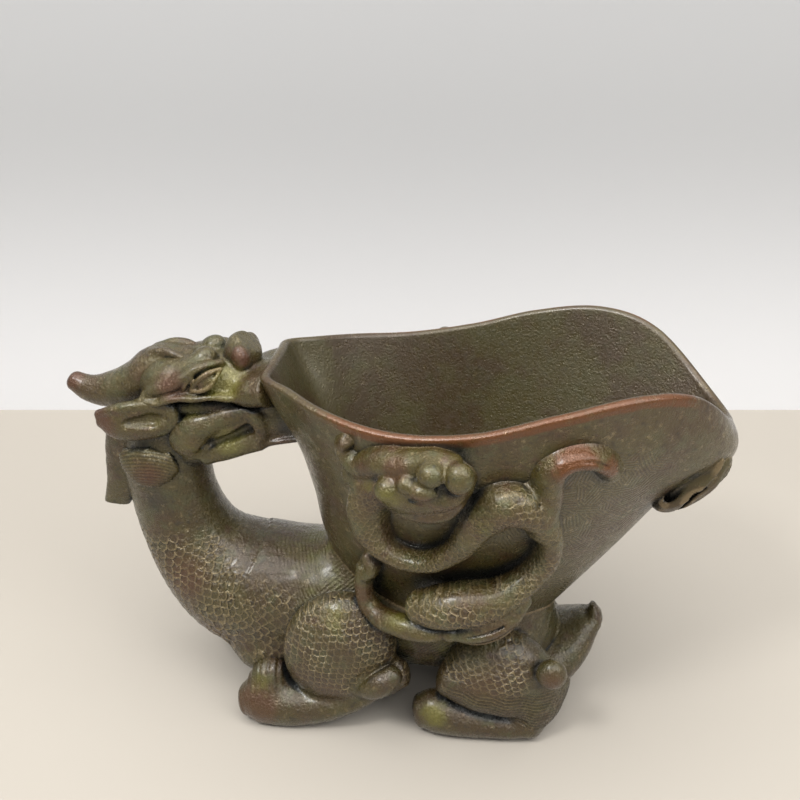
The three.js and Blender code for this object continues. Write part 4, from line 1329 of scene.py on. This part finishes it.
points, quads, caps, outside = cup_surface()
normals = normals_of(points, quads)
for groove in (lip_groove, roll_groove):
    near = fold(points)
    _, local, sizes = groove.locate(near)
    radius = sizes.mean(axis=1)
    depth = np.sqrt(np.maximum(radius**2 - (local**2).sum(axis=1), 0))
    points = points - normals * (0.35 * depth * outside)[:, None]
normals = normals_of(points, quads)
x, z = points[:, 0], points[:, 2]
angle_of = np.arctan2(points[:, 1] / (mouth_width / 2), (x - mouth_centre_x) / (mouth_length / 2))
below_rim = rim_height(angle_of) - z
hatched = 0.75 * outside * smoothstep(10, 15, below_rim)
hatched = hatched * smoothstep(20, 34, x + 0.35 * (z - 50)) * smoothstep(66, 56, x)
under_rim = outside * smoothstep(2.3, 1.0, below_rim)
under_rim = under_rim * smoothstep(-24, -4, x) * smoothstep(70, 58, x)
on_hood = outside * smoothstep(30, 50, x) * smoothstep(14, 6, below_rim)
marks = {
    "hollow": depth_of_hollow(points, normals), "hatched": hatched, "copper": 0.72 * under_rim,
    "rubbed": np.maximum(0.45 * on_hood, smoothstep(0.7, -0.4, below_rim) * 0.5),
    # The ridge mark here is a painted highlight along the top of the rim.
    "ridge": 0.5 * smoothstep(-0.5, -0.9, below_rim), "calm": 1.0 - outside,
}
# Painted shade: dark spots on the wall at the climber's head and in the two grooves of the lip.
for x, y, z, radius in ((-3, -25, 77, 5), (64, -13, 66, 2.5), (68, -15, 72, 2.5)):
    marks["hollow"] = np.maximum(marks["hollow"], dab(points, x, y, z, radius))
# Painted shade on faces that turn down.
marks["hollow"] = marks["hollow"] + 0.3 * smoothstep(0.1, -0.8, normals[:, 2])
# Inside, the hollow mark is high everywhere and higher towards the cavity floor: crust and painted shade.
inner_shade = 0.72 + 0.3 * smoothstep(cavity_floor + 8, cavity_floor, points[:, 2])
marks["hollow"] = np.where(outside, marks["hollow"], inner_shade)
settle(cast("cup", points, quads, marks, finishes["vessel_bronze"], caps), "cup_shell")


# %% Cast pieces
def make(name, node, field, low, high, step, slot, detail=plain_detail, sides=("",), **dabs):
    """One piece from its field: skin, carving, marks and a mesh for each side; the far one is a mirror.

    Dabs are rows of (x, y, z, radius, amount), under the name of the mark that they raise: spots of
    patina, and under hollow spots of painted shade."""
    points, quads = skin(field, low, high, step)
    normals = normals_of(points, quads)
    ridge = sharpness(field, points, normals)
    marks = {
        # Crust and painted shade in hollows; the term for faces that turn down is painted shade.
        "hollow": depth_of_hollow(points, normals) + 0.4 * smoothstep(0.1, -0.8, normals[:, 2]),
        # Ridges: pale wear and, in part, a painted highlight.
        "ridge": ridge,
        "rubbed": 0.7 * ridge,
        "moss": np.zeros(len(points)),
        "copper": np.zeros(len(points)),
    }
    for mark, spots in dabs.items():
        for *spot, amount in spots:
            marks[mark] = np.maximum(marks[mark], amount * dab(points, *spot))
    height, carved = detail(points)
    height = height + 0.07 * unevenness(points, 7, 5) + 0.04 * unevenness(points, 2.6, 6)
    points = points + normals * height[:, None]
    points[:, 2] = np.maximum(points[:, 2], 0)
    marks["moss"] = np.maximum(marks["moss"], carved.pop("moss", 0))
    marks.update(carved)
    for side in sides:
        piece = cast(name + side, points, quads, marks, finishes[slot], far=side == "_far")
        settle(piece, node + side)


both = ("_near", "_far")
make("body", "beast_body", body_field, (-72, -20, -1), (48, 20, 86), 0.48, "scaled_bronze", body_detail,
     rubbed=[(-52, -12, 36, 10, 0.8), (-46, -16, 18, 9, 0.7)],
     # Painted shade on the neck below the mane.
     hollow=[(-58, -9, 56, 8, 0.85)],
     moss=[(-10, -18, 46, 14, 0.45)])
make("head", "dragon_head", head_field, (-66, -16, 76), (-22, 16, 99), 0.36, "head_bronze",
     rubbed=[(-34.6, -6.8, 93.6, 3.4, 1.2), (-49.6, -10, 87.5, 5, 0.9)],
     moss=[(-38, -7.5, 87.5, 5.5, 1), (-43, -4, 90, 4, 0.5)])
make("jaw", "lower_jaw", jaw_field, (-62, -14, 60), (-10, 14, 86), 0.38, "head_bronze",
     rubbed=[(-46, -11, 74, 4, 0.5)],
     # Painted shade in the mouth next to the cup.
     hollow=[(-24, -7, 77, 5.5, 1)],
     moss=[(-47, -10, 72, 4, 0.6), (-38, -9, 74, 5, 0.7), (-46, -9, 81, 4, 0.5)])
make("horn", "head_horn", horn_field, (-82, -8, 74), (-44, 8, 96), 0.35, "head_bronze",
     rubbed=[(-79, 0, 84.5, 5, 1.1), (-58, -4, 88, 6, 0.6)])
make("ear", "ear", ear_field, (-72, -15, 70), (-46, -4, 86), 0.3, "head_bronze", sides=both,
     rubbed=[(-68, -10, 78, 6, 1.1)],
     moss=[(-55, -12, 79, 3, 0.7)])
make("mane", "cheek_mane", mane_field, (-70, -14, 54), (-44, -3, 74), 0.3, "rubbed_bronze",
     mane_detail, both,
     rubbed=[(-58, -11, 64, 6, 0.75)])
make("fin", "nape_fin", fin_field, (-77, -5, 46), (-58, 5, 80), 0.35, "scaled_bronze")
make("front_leg", "front_leg", front_leg_field, (-42, -32, -1), (10, -8, 46), 0.4, "scaled_bronze",
     thigh_detail, both,
     rubbed=[(-33, -26, 7, 7, 1.2), (-13, -27, 14, 8, 0.6)],
     moss=[(-32, -24, 13, 4, 0.6), (-12, -24, 36, 6, 0.5)])
make("hind_leg", "hind_leg", far_hind_leg_field, (2, -32, -1), (56, 0.6, 36), 0.6, "scaled_bronze",
     haunch_detail, ("_far",))
make("hind_leg", "hind_leg", hind_leg_field, (2, -32, -1), (56, 0.6, 36), 0.42, "scaled_bronze",
     haunch_detail, ("_near",),
     rubbed=[(24, -27, 20, 9, 0.6), (39.6, -28, 24, 4, 0.8)],
     moss=[(12, -25, 8, 4, 0.8)])
make("tail_leaf", "tail", tail_field, (24, -16, -1), (58, 16, 28), 0.45, "scaled_bronze")
make("climber", "chilong", climber_field, (-14, -46, 26), (52, -8, 91), 0.36, "relief_bronze",
     climber_detail, both,
     copper=[(39, -34, 85, 5.5, 1), (46, -31, 82, 3.5, 0.9)],
     rubbed=[(9, -40, 78, 3, 1.2), (16, -40, 80, 3, 1), (4, -36, 83, 3.5, 1.1), (-5.4, -21, 42, 3.2, 1.2)],
     moss=[(3, -27, 40, 4, 0.8), (-2, -30, 76, 3, 0.7), (2.6, -38, 77, 3, 0.8), (20, -38, 70, 7, 0.5)],
     # Painted shade on the wall at the left end of the climber's head.
     hollow=[(-5, -26, 77, 3.5, 1.1)])
make("scroll", "lip_scroll", scroll_field, (56, -15, 50), (84, 15, 88), 0.4, "vessel_bronze")

# %% [markdown]
# ## Floor, wall, camera and light
#
# The cup stood on a pale table before a white wall. The camera looks 24.5 degrees down and a little from
# the left. One big soft lamp overhead gives the broad, milky highlights, and a small one the glints.

# %% Stage
def plain(finish, colour, roughness):
    """A finish of one colour, or of a colour that other nodes make."""
    finish.feed(finish.surface["Base Color"], colour)
    finish.feed(finish.surface["Roughness"], roughness)
    return finish.material


def sheet(name, corners, material):
    mesh = bpy.data.meshes.new(name)
    mesh.from_pydata([Vector(c) * MM for c in corners], [], [(0, 1, 2, 3)])
    piece = bpy.data.objects.new(name, mesh)
    bpy.context.scene.collection.objects.link(piece)
    mesh.materials.append(material)
    piece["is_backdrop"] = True


camera_place = (16.752, -172.092, 160.329)
pitch_down = 24.5
look_left = np.radians(5)
wall_distance = 340.6
half_wide, table_depth, wall_height = 1500, 1100, 1600
wall_fade = 140 * MM
ahead = np.array([-np.sin(look_left), np.cos(look_left)])
aside = np.array([np.cos(look_left), np.sin(look_left)])
wall_foot = np.array(camera_place[:2]) + wall_distance * ahead


def spot(forward, sideways, height):
    """A stage corner, measured from the middle of the wall's foot: towards the camera, to the right, up."""
    x, y = wall_foot - forward * ahead + sideways * aside
    return (x, y, height)


foot = [spot(0, half_wide, 0), spot(0, -half_wide, 0)]
front = [spot(table_depth, -half_wide, 0), spot(table_depth, half_wide, 0)]
top = [spot(0, half_wide, wall_height), spot(0, -half_wide, wall_height)]
sheet("table", front + foot, plain(Finish("table_top"), (0.415, 0.378, 0.325, 1), 0.6))
# Painted light on the wall: lighter at the floor, fading to a darker grey over the lowest 140 mm.
wall = Finish("white_wall")
painted_glow = wall.spread(wall.node("SeparateXYZ", "Z", Vector=wall.place), wall_fade, 0)
paint = wall.mixed(painted_glow, (0.43, 0.43, 0.43, 1.0), (0.74, 0.74, 0.75, 1.0))
sheet("back_wall", foot[::-1] + top, plain(wall, paint, 0.8))

camera = bpy.data.objects.new("camera", bpy.data.cameras.new("camera"))
camera.data.lens = 36
camera.data.sensor_width = 36
camera.data.clip_start = 0.01
camera.location = Vector(camera_place) * MM
camera.rotation_euler = (np.radians(90 - pitch_down), 0, look_left)
bpy.context.scene.collection.objects.link(camera)
bpy.context.scene.camera = camera


def lamp(name, place, size, power, aim=(0, 0, 40)):
    """A square soft lamp at a place, turned to an aim, both in millimetres."""
    data = bpy.data.lights.new(name, "AREA")
    data.size = size
    data.energy = power
    light = bpy.data.objects.new(name, data)
    light.location = Vector(place) * MM
    direction = Vector(aim) - Vector(place)
    light.rotation_euler = direction.to_track_quat("-Z", "Y").to_euler()
    bpy.context.scene.collection.objects.link(light)


lamp("ceiling", (-40, -130, 850), 1.1, 13.5)
lamp("left", (-210, -250, 480), 0.1, 1.3)
lamp("right", (430, -260, 440), 0.35, 1.8)
world = bpy.data.worlds.new("room")
world.use_nodes = True
air = world.node_tree.nodes["Background"].inputs
air["Color"].default_value = (0.92, 0.92, 0.93, 1)
air["Strength"].default_value = 0.35
bpy.context.scene.world = world
bpy.context.scene.view_settings.view_transform = "Standard"

# %% Sizes of the solids and of the pieces shown
visual_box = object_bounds()
boxes = {"cad": [list(map(float, c)) for c in cad_box], "visual": [list(map(float, c)) for c in visual_box]}
print("solids' box:", boxes["cad"])
print("visual box: ", boxes["visual"])
